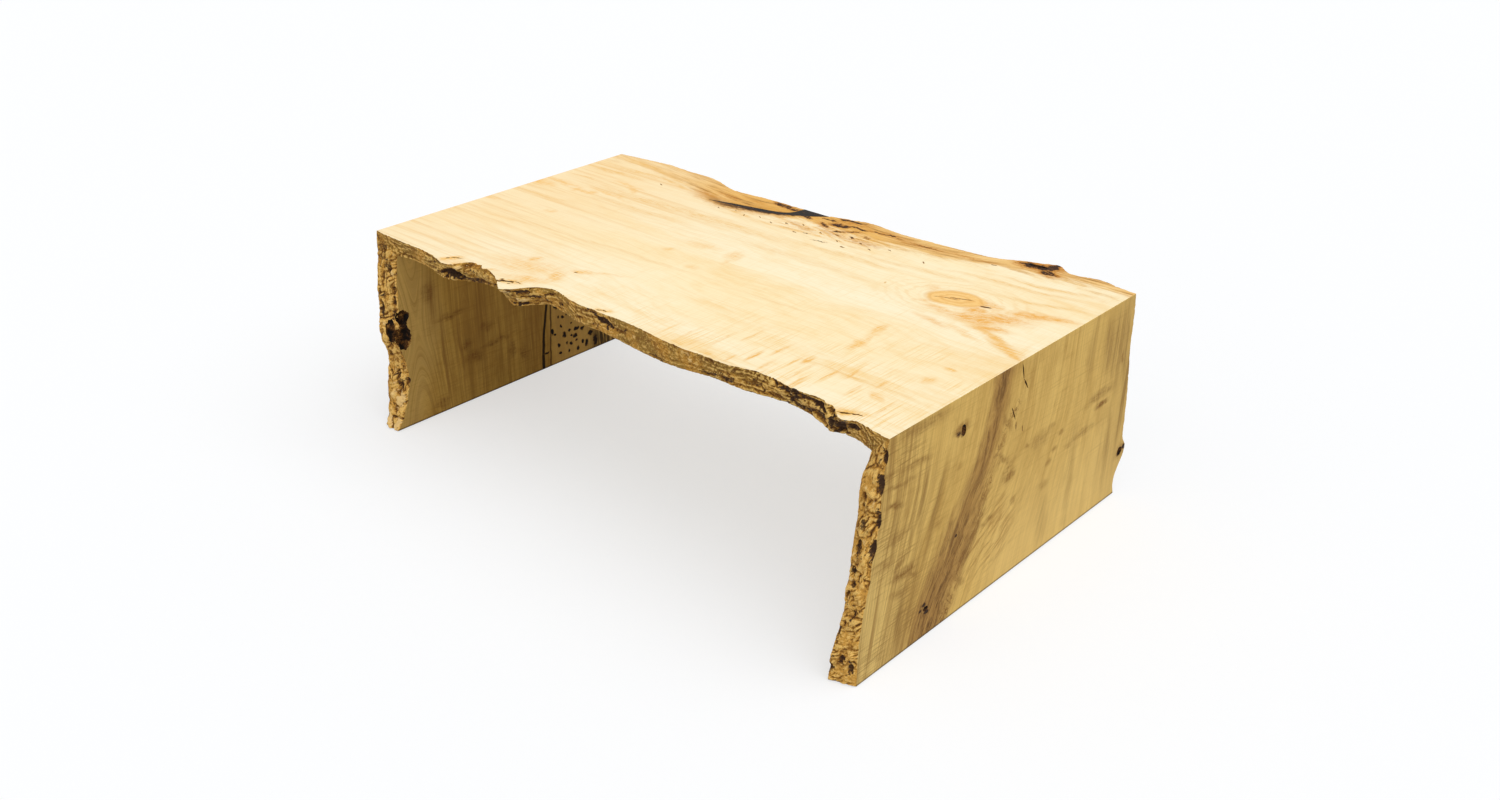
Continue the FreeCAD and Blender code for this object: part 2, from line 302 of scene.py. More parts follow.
# %% Floor
FLOOR_SIZE = 60
FLOOR_WHITE = 0.58
FLOOR_TONE = (0.955, 0.975, 1.0, 1.0)
FLOOR_BOUNCE = 0.55
WHITE = (1, 1, 1, 1)


def seen_directly(tree):
    """1 for rays from the camera, also through gloss and glass; 0 for light that bounces."""
    rays = tree.nodes.new("ShaderNodeLightPath").outputs
    direct = Wire(rays["Is Camera Ray"])
    direct = direct.maths("MAXIMUM", direct, Wire(rays["Is Glossy Ray"]))
    return direct.maths("MAXIMUM", direct, Wire(rays["Is Transmission Ray"]))


def show(tree, kind, direct, bounced, seen):
    """Output of a tree: one shader for light that bounces, one for what is seen directly."""
    both = direct.node("MixShader", {}, {0: direct, 1: bounced, 2: seen})
    output = tree.nodes.new("ShaderNodeOutput" + kind)
    tree.links.new(both.socket, output.inputs["Surface"])


bpy.ops.object.select_all(action="DESELECT")
bpy.ops.mesh.primitive_plane_add(size=FLOOR_SIZE, location=(0, 0, 0))
floor = bpy.context.object
floor.name = "studio_floor"
floor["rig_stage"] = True
floor_paint, _ = start_finish("studio_floor_paint")
direct = seen_directly(floor_paint.node_tree)
matt = direct.node("BsdfDiffuse", {}, {"Color": FLOOR_TONE})
white = direct.node("Emission", {}, {"Color": WHITE, "Strength": 1.0})
bounced = direct.node("BsdfDiffuse", {}, {"Color": (*[FLOOR_BOUNCE] * 3, 1)})
seen = direct.node("MixShader", {}, {0: FLOOR_WHITE, 1: matt, 2: white})
show(floor_paint.node_tree, "Material", direct, bounced, seen)
floor.data.materials.append(floor_paint)
print(floor_paint.name, "has", len(floor_paint.node_tree.nodes), "nodes")

# %% Sky
SKY = 0.42
world = bpy.data.worlds.new("studio_sky")
world.use_nodes = True
world.node_tree.nodes.clear()
direct = seen_directly(world.node_tree)
even = direct.node("Background", {}, {"Color": WHITE, "Strength": SKY})
plain = direct.node("Background", {}, {"Color": WHITE, "Strength": 1.0})
show(world.node_tree, "World", direct, even, plain)
scene.world = world
print(world.name, "lights with", SKY, "and shows as plain white")

# %% Soft lamp and front fill
SPREAD = 65
LAMP, LAMP_LEAN, LAMP_NOD = 1.86, 29, -4
FILL, FILL_LEAN = 0.60, 66


def add_sun(name, place, energy, turned):
    bpy.ops.object.light_add(type="SUN", location=place)
    sun = bpy.context.object
    sun.name = name
    sun.data.energy = energy
    sun.data.angle = math.radians(SPREAD)
    sun.rotation_euler = [math.radians(angle) for angle in turned]


add_sun("soft_lamp", (1, 0, 3), LAMP, (LAMP_NOD, LAMP_LEAN, 0))
add_sun("front_fill", (0, -2, 1), FILL, (FILL_LEAN, 0, 0))
lit = LAMP * math.cos(math.radians(LAMP_LEAN)) + FILL * math.cos(math.radians(FILL_LEAN))
print("open floor, share of white:", round(SKY + lit / math.pi, 3))

# %% [markdown]
# ## Planed maple
# The planed faces show long grain, faint streaks and the stains that fungi leave in maple.
# A picture could be projected on them, but it would smear on the other sides. A solid
# pattern in board coordinates does better: along the board, across it, and down from the
# show face. The ends are the same board folded down, so the grain runs over the mitres.

# %% Board coordinates of the three slabs
FOLDED = HALF_LENGTH + HEIGHT
FOLDS = {
    "top": lambda x, z: (x, HEIGHT - z),
    "left": lambda x, z: (z - FOLDED, x + HALF_LENGTH),
    "right": lambda x, z: (FOLDED - z, HALF_LENGTH - x),
}


def separate(place):
    """The three coordinates of a place."""
    parts = place.node("SeparateXYZ", {}, {0: place}).socket.node.outputs
    return [Wire(part) for part in parts]


def combine(place, x, y, z):
    return place.node("CombineXYZ", {}, {"X": x, "Y": y, "Z": z})


def on_board(corner, slab):
    """Object coordinates turned into (along, across, depth) of the unfolded board."""
    x, across, z = separate(corner)
    along, depth = FOLDS[slab](x, z)
    return combine(corner, along, across, depth), along, across, depth


print("the unfolded board is", 2 * FOLDED, "m long")


# %% Figure that all three slabs share
def maple_figure(place, tones, strength):
    """Colour and height of plain maple, and its mist: lines, threads, fibres and flecks."""
    pale, warm, streak = tones
    drift = (grain(place, 1.6, 4, 2) - 0.5) * 0.09
    drift = drift + (grain(place, 6, 14, 2) - 0.5) * 0.016
    bent = shifted(place, drift)
    tone = grain(bent, 0.9, 5, 3)
    mist = grain(bent, 2.4, 13, 6, 0.70)
    clouds = grain(place, 9, 17, 6, 0.70)
    growth = (grain(bent, 0.8, 4.5, 2, 0.40) * 170).sine()
    lines = grain(bent, 2.6, 150, 4, 0.65)
    threads = grain(bent, 13, 430, 3, 0.6)
    fibre = grain(bent, 24, 900, 2)
    flecks = grain(bent, 55, 260, 2)
    ripple = grain(place, 260, 11, 2, 0.6)
    colour = blend(rise(tone, 0.32, 0.68), pale, warm)
    for share, amount, dye in (
        (rise(mist, 0.46, 0.74), 0.60 * strength, streak),
        (rise(clouds, 0.50, 0.78), 0.36 * strength, streak),
        (rise(growth, 0.10, 1.00) * rise(clouds, 0.34, 0.62), 0.13 * strength, streak),
        (rise(lines, 0.48, 0.78), 0.34 * strength, streak),
        (rise(threads, 0.50, 0.76), 0.30 * strength, streak),
        (fall(threads, 0.28, 0.47), 0.40 * strength, pale),
        (rise(flecks, 0.62, 0.80), 0.30 * strength, streak),
        (rise(ripple, 0.50, 0.80), 0.26 * strength, streak),
        (rise(fibre, 0.35, 0.75), 0.10, streak),
    ):
        colour = blend(share * amount, colour, dye)
    return colour, fibre * 0.6 + lines * 0.4, mist


def saw_marks(place, counts, limits, patches, patch_limits):
    """Fine marks of the saw across the grain, in patches."""
    fine = rise(grain(place, *counts, 4, 0.65), *limits)
    return fine * rise(grain(place, *patches), *patch_limits)


print("figure of the maple is ready")


# %% Stains with frayed outlines
# Their tables have rows of (along, across, half long, half wide, turned, strength), with
# lengths in mm and the turn in degrees.
def ragged(place, per_metre, reach):
    """Push places about by up to so many mm, so that stains get uneven outlines."""
    sockets = {"Vector": place, "Scale": per_metre, "Detail": 3}
    push = place.node("TexNoise", {}, sockets, "Color")
    push = place.vector("SUBTRACT", push, (0.5, 0.5, 0.5))
    scaled = {0: push, "Scale": 2 * reach * MM}
    push = place.node("VectorMath", {"operation": "SCALE"}, scaled)
    return place.vector("ADD", place, push)


def turned_place(place, angle):
    """A place on the board turned by an angle, for figure that runs at a slant."""
    sockets = {"Vector": place, "Rotation": (0, 0, math.radians(angle))}
    return place.node("Mapping", {"vector_type": "TEXTURE"}, sockets)


STAIN_DEPTH = 60
STAIN_CORE = 0.1


def gather(place, rows):
    """One mask for the soft ovals of a table: their strength inside, 0 outside their rims."""
    total = None
    for along, across, long, wide, turned, strength in rows:
        local = oval(place, (along, across, 0), (long, wide, STAIN_DEPTH), turned)
        settings = {"gradient_type": "SPHERICAL"}
        inward = place.node("TexGradient", settings, {"Vector": local}, "Fac")
        mask = rise(inward, 0, 1 - STAIN_CORE, strength)
        total = mask if total is None else total.maths("MAXIMUM", total, mask)
    return total


def stain(place, colour, rows, dye, fray, wash=0.30):
    """Lay soft stains of one dye: a thin wash of it, and strokes where the noise is high."""
    strokes = rise(fray, 0.43, 0.61) * (1 - wash) + wash
    return blend(gather(place, rows) * strokes, colour, tint(*dye))


def mark(place, colour, rows, halo, dye, fray):
    """Dark marks with a warm rim: the halo dye outside, the dark dye at the frayed core."""
    mask = gather(place, rows) * ((fray - 0.5) * 4.5 + 1)
    return coats(colour, (rise(mask, 0.05, 0.45) * 0.70, halo), (rise(mask, 0.36, 0.70), dye))


print("stains reach", STAIN_DEPTH, "mm into the board")

# %% [markdown]
# ## The finish of the top
# The top is the palest face: cream with faint tan streaks. It has one large knot with a
# feathery stain beside it, a golden, brown-streaked band along the back edge, and small dark
# marks near the front edge. Each mark is an oval mask laid over the figure, so it can be
# moved by its own numbers, and a fine noise eats into its outline.

# %% Figure of the top, parted around the knot
TOP_TONES = (tint(255, 245, 213), tint(255, 237, 193), tint(248, 210, 142))
KNOT = (386, 136.5, 0)
KNOT_SIZE = (53, 33, 80)
KNOT_TURN = 17
maple_top, corner = start_finish("maple_planed_top")
place, along, across, depth = on_board(corner, "top")
knot_far = radius(ragged(place, 18, 4), KNOT, KNOT_SIZE, KNOT_TURN)
around_knot = fall(knot_far, 0.6, 2.4)
parted = shifted(place, (KNOT[1] * MM - across) * around_knot * 0.75)
colour, height, mist = maple_figure(parted, TOP_TONES, 1.20)
warm_side = fall(along - across * 0.5, -0.62, 0.10) * 0.62
streaks = grain(parted, 1.8, 58, 6, 0.72)
colour = coats(
    colour,
    (warm_side, (252, 224, 174)),
    (warm_side * rise(streaks, 0.47, 0.66), (238, 190, 116)),
)
print("the knot of the top is at", KNOT[:2], "mm")

# %% Long lines and soft stains of the top
TOP_LINES = [
    (-470, -116, 190, 8, 7, 0.50), (-150, -88, 260, 8, 3, 0.50), (180, -80, 140, 8, 0, 0.45),
    (-250, 136, 420, 26, 1, 0.80), (120, 165, 220, 16, 3, 0.75), (450, -214, 180, 7, -2, 0.80),
    (540, 40, 110, 14, -24, 1.10), (560, 16, 80, 11, -20, 1.05), (-60, 200, 190, 10, 6, 0.90),
    (-480, 246, 160, 16, 0, 0.95), (-520, 214, 120, 20, 0, 0.95),
    (-160, 200, 80, 11, -12, 0.90), (300, -305, 150, 7, 0, 0.75), (-420, -270, 190, 9, 3, 0.50),
    (500, 215, 150, 11, 14, 0.85), (250, 200, 200, 12, 4, 0.65), (430, 250, 200, 10, 9, 0.85),
    (480, 282, 160, 11, 8, 0.95), (-500, 292, 120, 16, -4, 1.05),
    (-430, 272, 120, 11, -8, 1.00), (-540, 150, 80, 9, 3, 0.85), (-330, 84, 200, 13, 3, 0.70),
    (-520, 20, 120, 10, 4, 0.65), (60, 96, 300, 16, 2, 0.50), (-560, 318, 60, 10, 0, 0.95),
    (-420, 316, 90, 10, -4, 0.90), (-380, 246, 90, 10, -6, 1.00),
]
TOP_STAINS = [
    (-590, 70, 60, 30, 0, 0.85), (-480, 86, 50, 13, 8, 0.75), (-560, 99, 80, 10, 0, 0.70),
    (-415, 160, 34, 16, -40, 0.75), (-440, 172, 80, 8, 0, 0.65), (-430, 110, 90, 9, -6, 0.60),
    (-462, 92, 20, 18, 0, 0.85), (-498, 86, 15, 22, 0, 0.80), (-100, 30, 70, 20, 10, 0.45),
    (367, -50, 15, 42, 0, 0.90), (373, -118, 16, 34, 0, 1.00), (376, -80, 9, 40, 0, 0.80),
    (-270, -222, 30, 20, 10, 0.90), (-185, -252, 32, 40, 20, 0.90),
    (-165, -210, 30, 12, 25, 0.95), (-172, -214, 11, 7, 20, 1.20), (535, -148, 18, 18, 0, 0.75),
    (535, -95, 14, 10, 0, 0.90), (508, -240, 26, 12, -30, 1.00), (-20, 30, 24, 36, 30, 0.65),
    (-130, -24, 22, 14, 30, 0.65), (-585, -63, 30, 14, 0, 0.75), (-345, -330, 70, 22, 0, 0.70),
    (-255, -250, 120, 56, 12, 0.60), (-210, -290, 66, 22, 20, 0.85),
    (505, -308, 30, 12, 24, 1.15), (480, -318, 22, 11, 0, 1.05), (-300, -310, 40, 9, 24, 0.85),
    (-390, -322, 22, 11, 40, 1.00), (-140, -190, 80, 9, 24, 0.60), (-40, -60, 24, 16, 20, 0.50),
    (-10, 0, 10, 30, 20, 0.50), (-440, -30, 26, 10, 20, 0.55), (560, 20, 70, 12, -22, 0.95),
    (520, 44, 90, 10, -26, 0.80), (470, 30, 60, 14, -20, 0.60),
]
uneven = ragged(place, 28, 14)
fray = grain(place, 30, 230, 7, 0.74)
cross = grain(place, 230, 34, 6, 0.74)
crossed = (fray + cross) * 0.5 + 0.01
colour = stain(ragged(place, 9, 16), colour, TOP_LINES, (240, 194, 120), fray)
colour = stain(uneven, colour, TOP_STAINS, (243, 184, 86), crossed)
print("the top has", len(TOP_LINES), "long lines and", len(TOP_STAINS), "soft stains")

# %% Saw marks and short dashes, strongest towards the front right corner
TOP_DASHES = [
    (283, -258, 7, 34, 0, 1.15), (391, -283, 7, 36, 0, 1.00), (300, -215, 6, 44, 0, 0.85),
    (342, -230, 6, 34, 0, 0.85), (355, -216, 9, 26, 0, 1.10), (412, -230, 6, 44, 0, 0.85),
    (436, -205, 6, 30, 0, 0.90), (470, -250, 6, 34, 0, 0.75), (260, -290, 6, 24, 0, 0.80),
    (232, -205, 5, 44, 0, 0.65), (318, -270, 5, 44, 0, 0.80), (150, -260, 5, 40, 0, 0.60),
    (490, -205, 6, 24, 0, 0.80), (330, -300, 6, 22, 0, 0.85), (540, -262, 5, 40, 0, 0.70),
    (205, -250, 5, 50, 0, 0.65), (372, -250, 5, 50, 0, 0.75), (180, -285, 5, 26, 0, 0.60),
]
saw = saw_marks(place, (420, 9), (0.48, 0.66), (14, 9), (0.34, 0.62))
saw_area = rise(along * 0.5 - across, 0.06, 0.46)
colour = coats(colour, (saw * saw_area * 0.85, (246, 200, 116)))
colour = stain(ragged(place, 60, 3), colour, TOP_DASHES, (240, 180, 82), cross)
print("the top has", len(TOP_DASHES), "dashes across the grain")

# %% Golden band along the back edge, with brown streaks that follow it
# Its front outline, as rows of (along, across).
BACK_BAND = [
    (-600, 280), (-420, 256), (-330, 243), (-280, 236), (-200, 226), (-100, 250), (0, 262),
    (100, 250), (200, 262), (300, 284), (400, 318), (500, 330), (600, 336),
]
band_line = follow(along, BACK_BAND)
band_rough = (grain(place, 9, 40, 6, 0.72) - 0.5) * 0.14
in_band = rise(across - band_line + band_rough, -0.016, 0.026)
in_band = in_band * (rise(along, -0.46, -0.26) * 0.60 + 0.40)
brown_band = in_band * in_band
near_crack = fall(radius(place, (-70, 268, 0), (300, 90, 80)), 0.35, 1)
near_resin = fall(radius(place, (10, 256, 0), (210, 80, 80)), 0.3, 1)
beside = shifted(place, 0 - band_line)
ribbons = grain(beside, 7, 100, 6, 0.74)
dark_ribbons = rise(ribbons, 0.55, 0.64) * near_crack
crumbs = grain(beside, 30, 150, 6, 0.76) + (ribbons - 0.5) * 0.5
colour = coats(
    colour,
    (in_band * 0.80, (240, 192, 110)),
    (in_band * near_crack * 0.65, (230, 170, 72)),
    (in_band * rise(ribbons, 0.42, 0.58) * 0.80, (208, 154, 80)),
    (brown_band * rise(ribbons, 0.52, 0.68) * 0.85, (144, 94, 40)),
    (brown_band * dark_ribbons * 0.85, (96, 60, 24)),
    (near_resin * rise(crumbs, 0.44, 0.60) * 0.80, (240, 182, 86)),
    (near_resin * rise(crumbs, 0.58, 0.68) * 0.85, (150, 94, 36)),
)
print("the back band starts", min(row[1] for row in BACK_BAND), "mm or more from the middle")

# %% The crack runs on as a brown, ragged line
# Rows of (along, across).
CRACK_LINE = [
    (-330, 246), (-280, 238), (-218, 226), (-175, 235), (-118, 251), (-89, 264), (-61, 290),
    (-30, 306),
]
crumbled = grain(place, 60, 150, 6, 0.76)
crack_off = abs(across - follow(along, CRACK_LINE) + 0.004 + (crumbled - 0.5) * 0.040)
crack_part = rise(along, -0.34, -0.27) * fall(along, -0.06, -0.02)
brown_part = crack_part * rise(along, -0.30, -0.20)
black_part = crack_part * rise(along, -0.26, -0.16)
colour = coats(
    colour,
    (fall(crack_off, 0.006, 0.030) * crack_part * 0.75, (214, 152, 62)),
    (fall(crack_off, 0.003, 0.015) * brown_part * 0.90, (112, 70, 28)),
    (fall(crack_off, 0.001, 0.008) * black_part * 0.95, (56, 36, 18)),
)
print("the crack is drawn from", CRACK_LINE[0], "to", CRACK_LINE[-1], "mm")

# %% Bark and dark marks beside the crack
CRACK_SIDES = [
    (-130, 294, 44, 16, -6, 1.20), (-95, 288, 28, 12, 0, 1.10), (22, 278, 34, 18, 12, 1.20),
    (40, 304, 60, 14, 10, 1.10), (0, 258, 40, 14, -25, 1.00), (60, 268, 34, 13, 30, 1.05),
    (412, 354, 66, 30, 8, 2.60), (434, 368, 30, 40, 10, 2.60), (442, 338, 38, 22, -15, 2.20),
    (120, 300, 86, 12, 4, 1.05), (205, 298, 86, 10, 4, 1.00), (300, 308, 90, 8, 6, 0.90),
    (110, 236, 60, 16, 4, 0.85), (40, 236, 60, 16, -10, 0.80), (-30, 228, 60, 12, -10, 0.70),
    (-240, 262, 60, 8, -4, 0.85), (-190, 276, 50, 7, -6, 0.85), (-290, 240, 50, 8, -8, 0.85),
]
TOP_DARK = [
    (-130, 294, 40, 13, -6, 1.0), (-98, 290, 22, 10, 0, 0.9), (24, 279, 34, 15, 12, 1.0),
    (30, 312, 44, 10, 12, 0.9), (80, 244, 14, 6, -30, 0.8), (120, 300, 56, 5, 4, 0.8),
    (205, 298, 56, 4, 4, 0.7), (-60, 276, 34, 12, -20, 0.9), (-10, 290, 30, 7, 0, 0.8),
    (412, 354, 52, 17, 8, 1.1), (434, 368, 18, 32, 10, 1.0), (0, 262, 24, 8, -30, 0.8),
    (442, 340, 30, 12, -15, 0.9), (60, 268, 20, 7, 30, 0.9), (540, 372, 14, 6, 0, 0.7),
    (60, 290, 40, 8, 10, 0.8), (0, 205, 12, 3, -10, 0.9), (45, 190, 24, 3.4, 10, 0.9),
    (100, 262, 16, 6, -30, 0.8), (40, 252, 20, 6, 30, 0.8),
]
# Small specks, all of one length, as rows of (along, across, half wide, turned).
SPECK_LONG = 8
SPECK_STRENGTH = 1.1
SPECKS = [
    (-86, 205, 2.2, -40), (-60, 222, 2.6, -36), (140, 218, 2.0, -30), (250, 234, 2.2, -40),
    (-395, 222, 2.6, -35), (-180, 210, 2.0, -38), (350, 308, 2.2, 0), (50, 236, 2.6, -20),
    (110, 232, 2.0, -30), (20, 226, 2.2, -36), (-30, 236, 2.6, -36), (170, 240, 2.0, -30),
    (-120, 212, 2.2, -36), (-150, 200, 2.6, -40), (70, 212, 2.0, -30), (-20, 196, 2.2, -20),
    (95, 196, 2.6, -10), (-215, 200, 2.0, -40),
]
specks = [(x, y, SPECK_LONG, wide, turned, SPECK_STRENGTH) for x, y, wide, turned in SPECKS]
torn_place = ragged(ragged(place, 50, 9), 170, 5)
colour = stain(torn_place, colour, CRACK_SIDES, (200, 134, 52), crumbled, 0.35)
colour = mark(torn_place, colour, TOP_DARK, (172, 112, 44), (60, 36, 16), crumbled)
speck_place = ragged(place, 120, 4)
colour = mark(speck_place, colour, specks, (236, 190, 116), (116, 72, 28), crumbled)
print("beside the crack:", len(TOP_DARK), "dark marks and", len(SPECKS), "specks")

# %% Feathery stain and knot of the top
FEATHERS = [
    (455, 88, 84, 30, 6, 1.10), (480, 112, 96, 34, 20, 1.10), (524, 162, 80, 24, 22, 1.10),
    (440, 150, 50, 24, 0, 0.85), (385, 84, 44, 18, 4, 0.80), (410, 34, 56, 14, -12, 0.70),
    (560, 176, 54, 14, 20, 1.00), (500, 70, 54, 18, 20, 0.95), (440, 118, 32, 24, 0, 1.10),
    (350, 100, 36, 12, 20, 0.55), (330, 150, 24, 24, 0, 0.50),
]
KNOT_CHECKS = [
    (395, 142, 40, 2.4, 22, 0.9), (378, 131, 28, 2.0, 14, 0.8), (443, 140, 15, 4.4, 16, 1.0),
    (360, 126, 18, 1.8, 30, 0.7),
]
RINGS = 17
feather = grain(turned_place(uneven, 24), 46, 220, 7, 0.76)
colour = stain(uneven, colour, FEATHERS, (238, 172, 72), feather, 0.42)
rings = knot_far + (grain(place, 30, 60, 3) - 0.5) * 0.5
ring_lines = rise((rings * RINGS).sine(), -0.2, 1)
in_knot = fall(knot_far, 0.80, 1.08)
round_knot = rise(knot_far, 1, 1.3) * fall(knot_far, 1.6, 3.4) * rise(feather, 0.36, 0.58)
rim = fall(abs(knot_far - 0.97), 0.03, 0.14) * rise(grain(place, 20, 40), 0.35, 0.65)
colour = coats(
    colour,
    (round_knot * ring_lines * 0.36, (243, 200, 130)),
    (in_knot * 0.85, (250, 202, 120)),
    (in_knot * ring_lines * 0.45, (228, 168, 84)),
    (in_knot * rise(feather, 0.45, 0.65) * 0.35, (230, 172, 88)),
    (rim * 0.34, (222, 164, 84)),
)
check_place = ragged(place, 60, 2.5)
colour = mark(check_place, colour, KNOT_CHECKS, (216, 156, 78), (112, 70, 32), crumbled)
print("the knot has", len(KNOT_CHECKS), "checks and", len(FEATHERS), "feathers beside it")

# %% Dark marks near the front edge of the top
SCORCHED = [
    (-226, -318, 46, 18, 30, 1.0), (-386, -318, 34, 16, 62, 1.1), (510, -311, 46, 14, 28, 1.1),
    (-17, -298, 30, 11, 20, 0.9), (164, -303, 24, 9, 0, 0.6), (221, -301, 24, 9, 10, 0.6),
]
FRONT_MARKS = [
    (-238, -327, 13, 6, 40, 1.2), (-225, -319, 16, 5, 25, 1.2), (-211, -313, 15, 3.6, 10, 1.0),
    (-244, -322, 8, 5, 60, 1.0), (-218, -324, 9, 3, 60, 0.9), (-392, -323, 10, 4, 62, 0.9),
    (-385, -314, 10, 3.4, 40, 0.9), (-376, -309, 16, 2.6, 16, 0.8),
    (505, -314, 13, 3.2, 30, 1.1), (522, -306, 14, 2.8, 20, 1.0), (496, -317, 7, 4, 0, 0.8),
    (-21, -300, 9, 3.2, 25, 1.0), (-12, -296, 8, 2.6, 5, 0.9), (-172, -214, 9, 4, 20, 0.6),
    (255, 114, 6, 6, 0, 0.5),
]
scorched_place = ragged(place, 50, 8)
colour = stain(scorched_place, colour, SCORCHED, (240, 184, 84), crumbled, 0.35)
front_place = ragged(place, 90, 5)
colour = mark(front_place, colour, FRONT_MARKS, (230, 172, 72), (74, 42, 14), crumbled)
FACE_RELIEF = 0.10
close_finish(maple_top, colour, 0.50 + mist * 0.14, height, FACE_RELIEF, 0.06)

# %% [markdown]
# ## The finish of the two ends
# The right end faces the camera: darker, olive tan, with a brown heart streak that runs
# down it at a slant, small knots, and cross marks of the saw at its front. The left end is
# seen from inside: brown, with a black zone line and the spots of a spalting fungus. Growth
# lines follow the natural edge on one side and the heart on the other, so the figure is
# drawn in a place that is counted between those two curves.

# %% Figure of the right end
# Curves have rows of (height above the floor, across).
END_TONES = (tint(234, 197, 114), tint(220, 180, 98), tint(164, 121, 54))
FRONT_EDGE = [
    (0, -375), (60, -368), (156, -355), (207, -345), (283, -330), (340, -326), (400, -322),
]
HEART = [
    (0, -211), (55, -189), (105, -158), (156, -131), (207, -106), (258, -77), (308, -60),
    (400, -42),
]
BACK_EDGE = 0.370
maple_right, corner = start_finish("maple_planed_right")
place, along, across, depth = on_board(corner, "right")
tall = FOLDED - along
on_face = combine(place, across, tall, depth)
heart_line = follow(tall, HEART)
front_line = follow(tall, FRONT_EDGE)
from_heart = across - heart_line
before = (across - front_line) / (heart_line - front_line)
after = from_heart / (BACK_EDGE - heart_line)
before = before.maths("MINIMUM", before, 1)
after = after.maths("MAXIMUM", after, 0)
flow = combine(place, along, before * 0.22 + after * 0.42, depth)
colour, height, mist = maple_figure(flow, END_TONES, 1.2)
print("the heart leans from", HEART[0][1], "to", HEART[-1][1], "mm")

# %% Light and dark parts of the right end
# On the ends, the rows of stains are (across, height above the floor, half wide, half tall,
# turned, strength).
RIGHT_BANDS = [
    (331, 300, 14, 140, 0, 1.00), (312, 330, 18, 100, 0, 0.80), (288, 335, 30, 80, 0, 0.80),
    (232, 330, 20, 100, 0, 0.60), (350, 300, 12, 130, 4, 0.90), (368, 220, 14, 200, -4, 0.95),
    (325, 120, 14, 130, 0, 0.70), (-285, 60, 14, 110, 0, 0.85), (-240, 270, 12, 110, -8, 0.85),
    (-262, 250, 8, 130, -8, 0.80), (-205, 230, 12, 110, -16, 0.80),
    (-305, 240, 10, 130, -6, 0.80), (200, 120, 20, 170, 0, 0.50), (120, 60, 30, 90, 0, 0.45),
    (-252, 110, 9, 120, -10, 0.80),
]
front_part = fall(across + tall * 0.12, -0.28, -0.10)
low_light = fall(tall, 0.02, 0.24) * rise(across, -0.12, 0.02)
growth = grain(flow, 2.5, 90, 6, 0.68)
colour = coats(
    colour,
    (fall(across + tall * 0.25, -0.36, -0.20) * 0.60, (230, 200, 126)),
    (low_light * 0.60, (246, 211, 132)),
    (rise(across, 0.24, 0.36) * 0.35, (196, 160, 92)),
    (rise(growth, 0.44, 0.64) * (front_part * 0.60 + 0.12), (160, 122, 64)),
)
streaks = grain(flow, 6, 200, 5, 0.7)
band_place = ragged(on_face, 14, 9)
colour = stain(band_place, colour, RIGHT_BANDS, (146, 110, 56), streaks, 0.40)
print("the right end has", len(RIGHT_BANDS), "dark bands")

# %% Weave of saw marks, and the brushed fan of grain beside the heart
weave = saw_marks(place, (360, 13), (0.47, 0.66), (12, 9), (0.32, 0.60))
warp = rise(grain(flow, 6, 300, 3, 0.6), 0.48, 0.70)
uneven = ragged(on_face, 28, 12)
FAN = (-50, 110, 0)
FAN_SIZE = (130, 110, 90)
FAN_TURN = 30
strokes = grain(turned_place(ragged(on_face, 9, 18), FAN_TURN), 16, 120, 6, 0.70)
fan_area = fall(radius(uneven, FAN, FAN_SIZE, FAN_TURN), 0.30, 1)
colour = coats(
    colour,
    (weave * (front_part * 0.60 + 0.08), (146, 110, 56)),
    (warp * (front_part * 0.45 + 0.10), (154, 118, 62)),
    (rise(strokes, 0.46, 0.62) * fan_area * 0.65, (168, 124, 62)),
)
print("the fan of grain is turned by", FAN_TURN, "degrees")

# %% Heart streak: soft brown on its left, broken bark along its right
# Rows of (height above the floor, half width) and of (height above the floor, across).
HEART_HALF = [
    (0, 54), (55, 62), (105, 66), (156, 62), (207, 48), (258, 38), (308, 32), (400, 36),
]
HEART_BARK = [
    (0, -177), (34, -150), (90, -126), (141, -91), (192, -67), (243, -42), (293, -18), (330, 4),
    (400, 30),
]


def veins(value, width):
    """Thin curly lines, where a noise passes its middle value."""
    return fall(abs(value - 0.5), 0, width)


torn = (grain(flow, 14, 70, 6, 0.74) - 0.5) * 1.6
in_heart = fall(abs(from_heart) / follow(tall, HEART_HALF) + torn, 0.20, 1.30)
low_part = fall(tall, 0.06, 0.26)
burl = ragged(flow, 22, 9)
ribs = grain(burl, 6, 48, 6, 0.74)
hairs = grain(burl, 34, 170, 6, 0.74)
bark_off = across - follow(tall, HEART_BARK) + torn * 0.008
bark_near = fall(abs(bark_off), 0.004, 0.020) * fall(tall, 0.30, 0.36)
curls = veins(even_grain(ragged(on_face, 40, 10), 60, 4, 0.65), 0.05)
broken = rise(even_grain(on_face, 30, 4), 0.40, 0.58)
colour = coats(
    colour,
    (in_heart * 0.70, (186, 142, 78)),
    (in_heart * rise(ribs, 0.36, 0.60) * 0.85, (150, 110, 56)),
    (in_heart * rise(ribs, 0.52, 0.66) * 0.85, (106, 74, 36)),
    (in_heart * low_part * 0.20, (156, 116, 64)),
    (in_heart * rise(hairs, 0.46, 0.62) * (low_part * 0.5 + 0.45), (106, 74, 36)),
    (bark_near * curls * broken * 0.95, (112, 72, 30)),
    (bark_near * rise(hairs, 0.46, 0.60) * 0.50, (150, 106, 50)),
)
print("the heart is up to", 2 * max(row[1] for row in HEART_HALF), "mm wide")

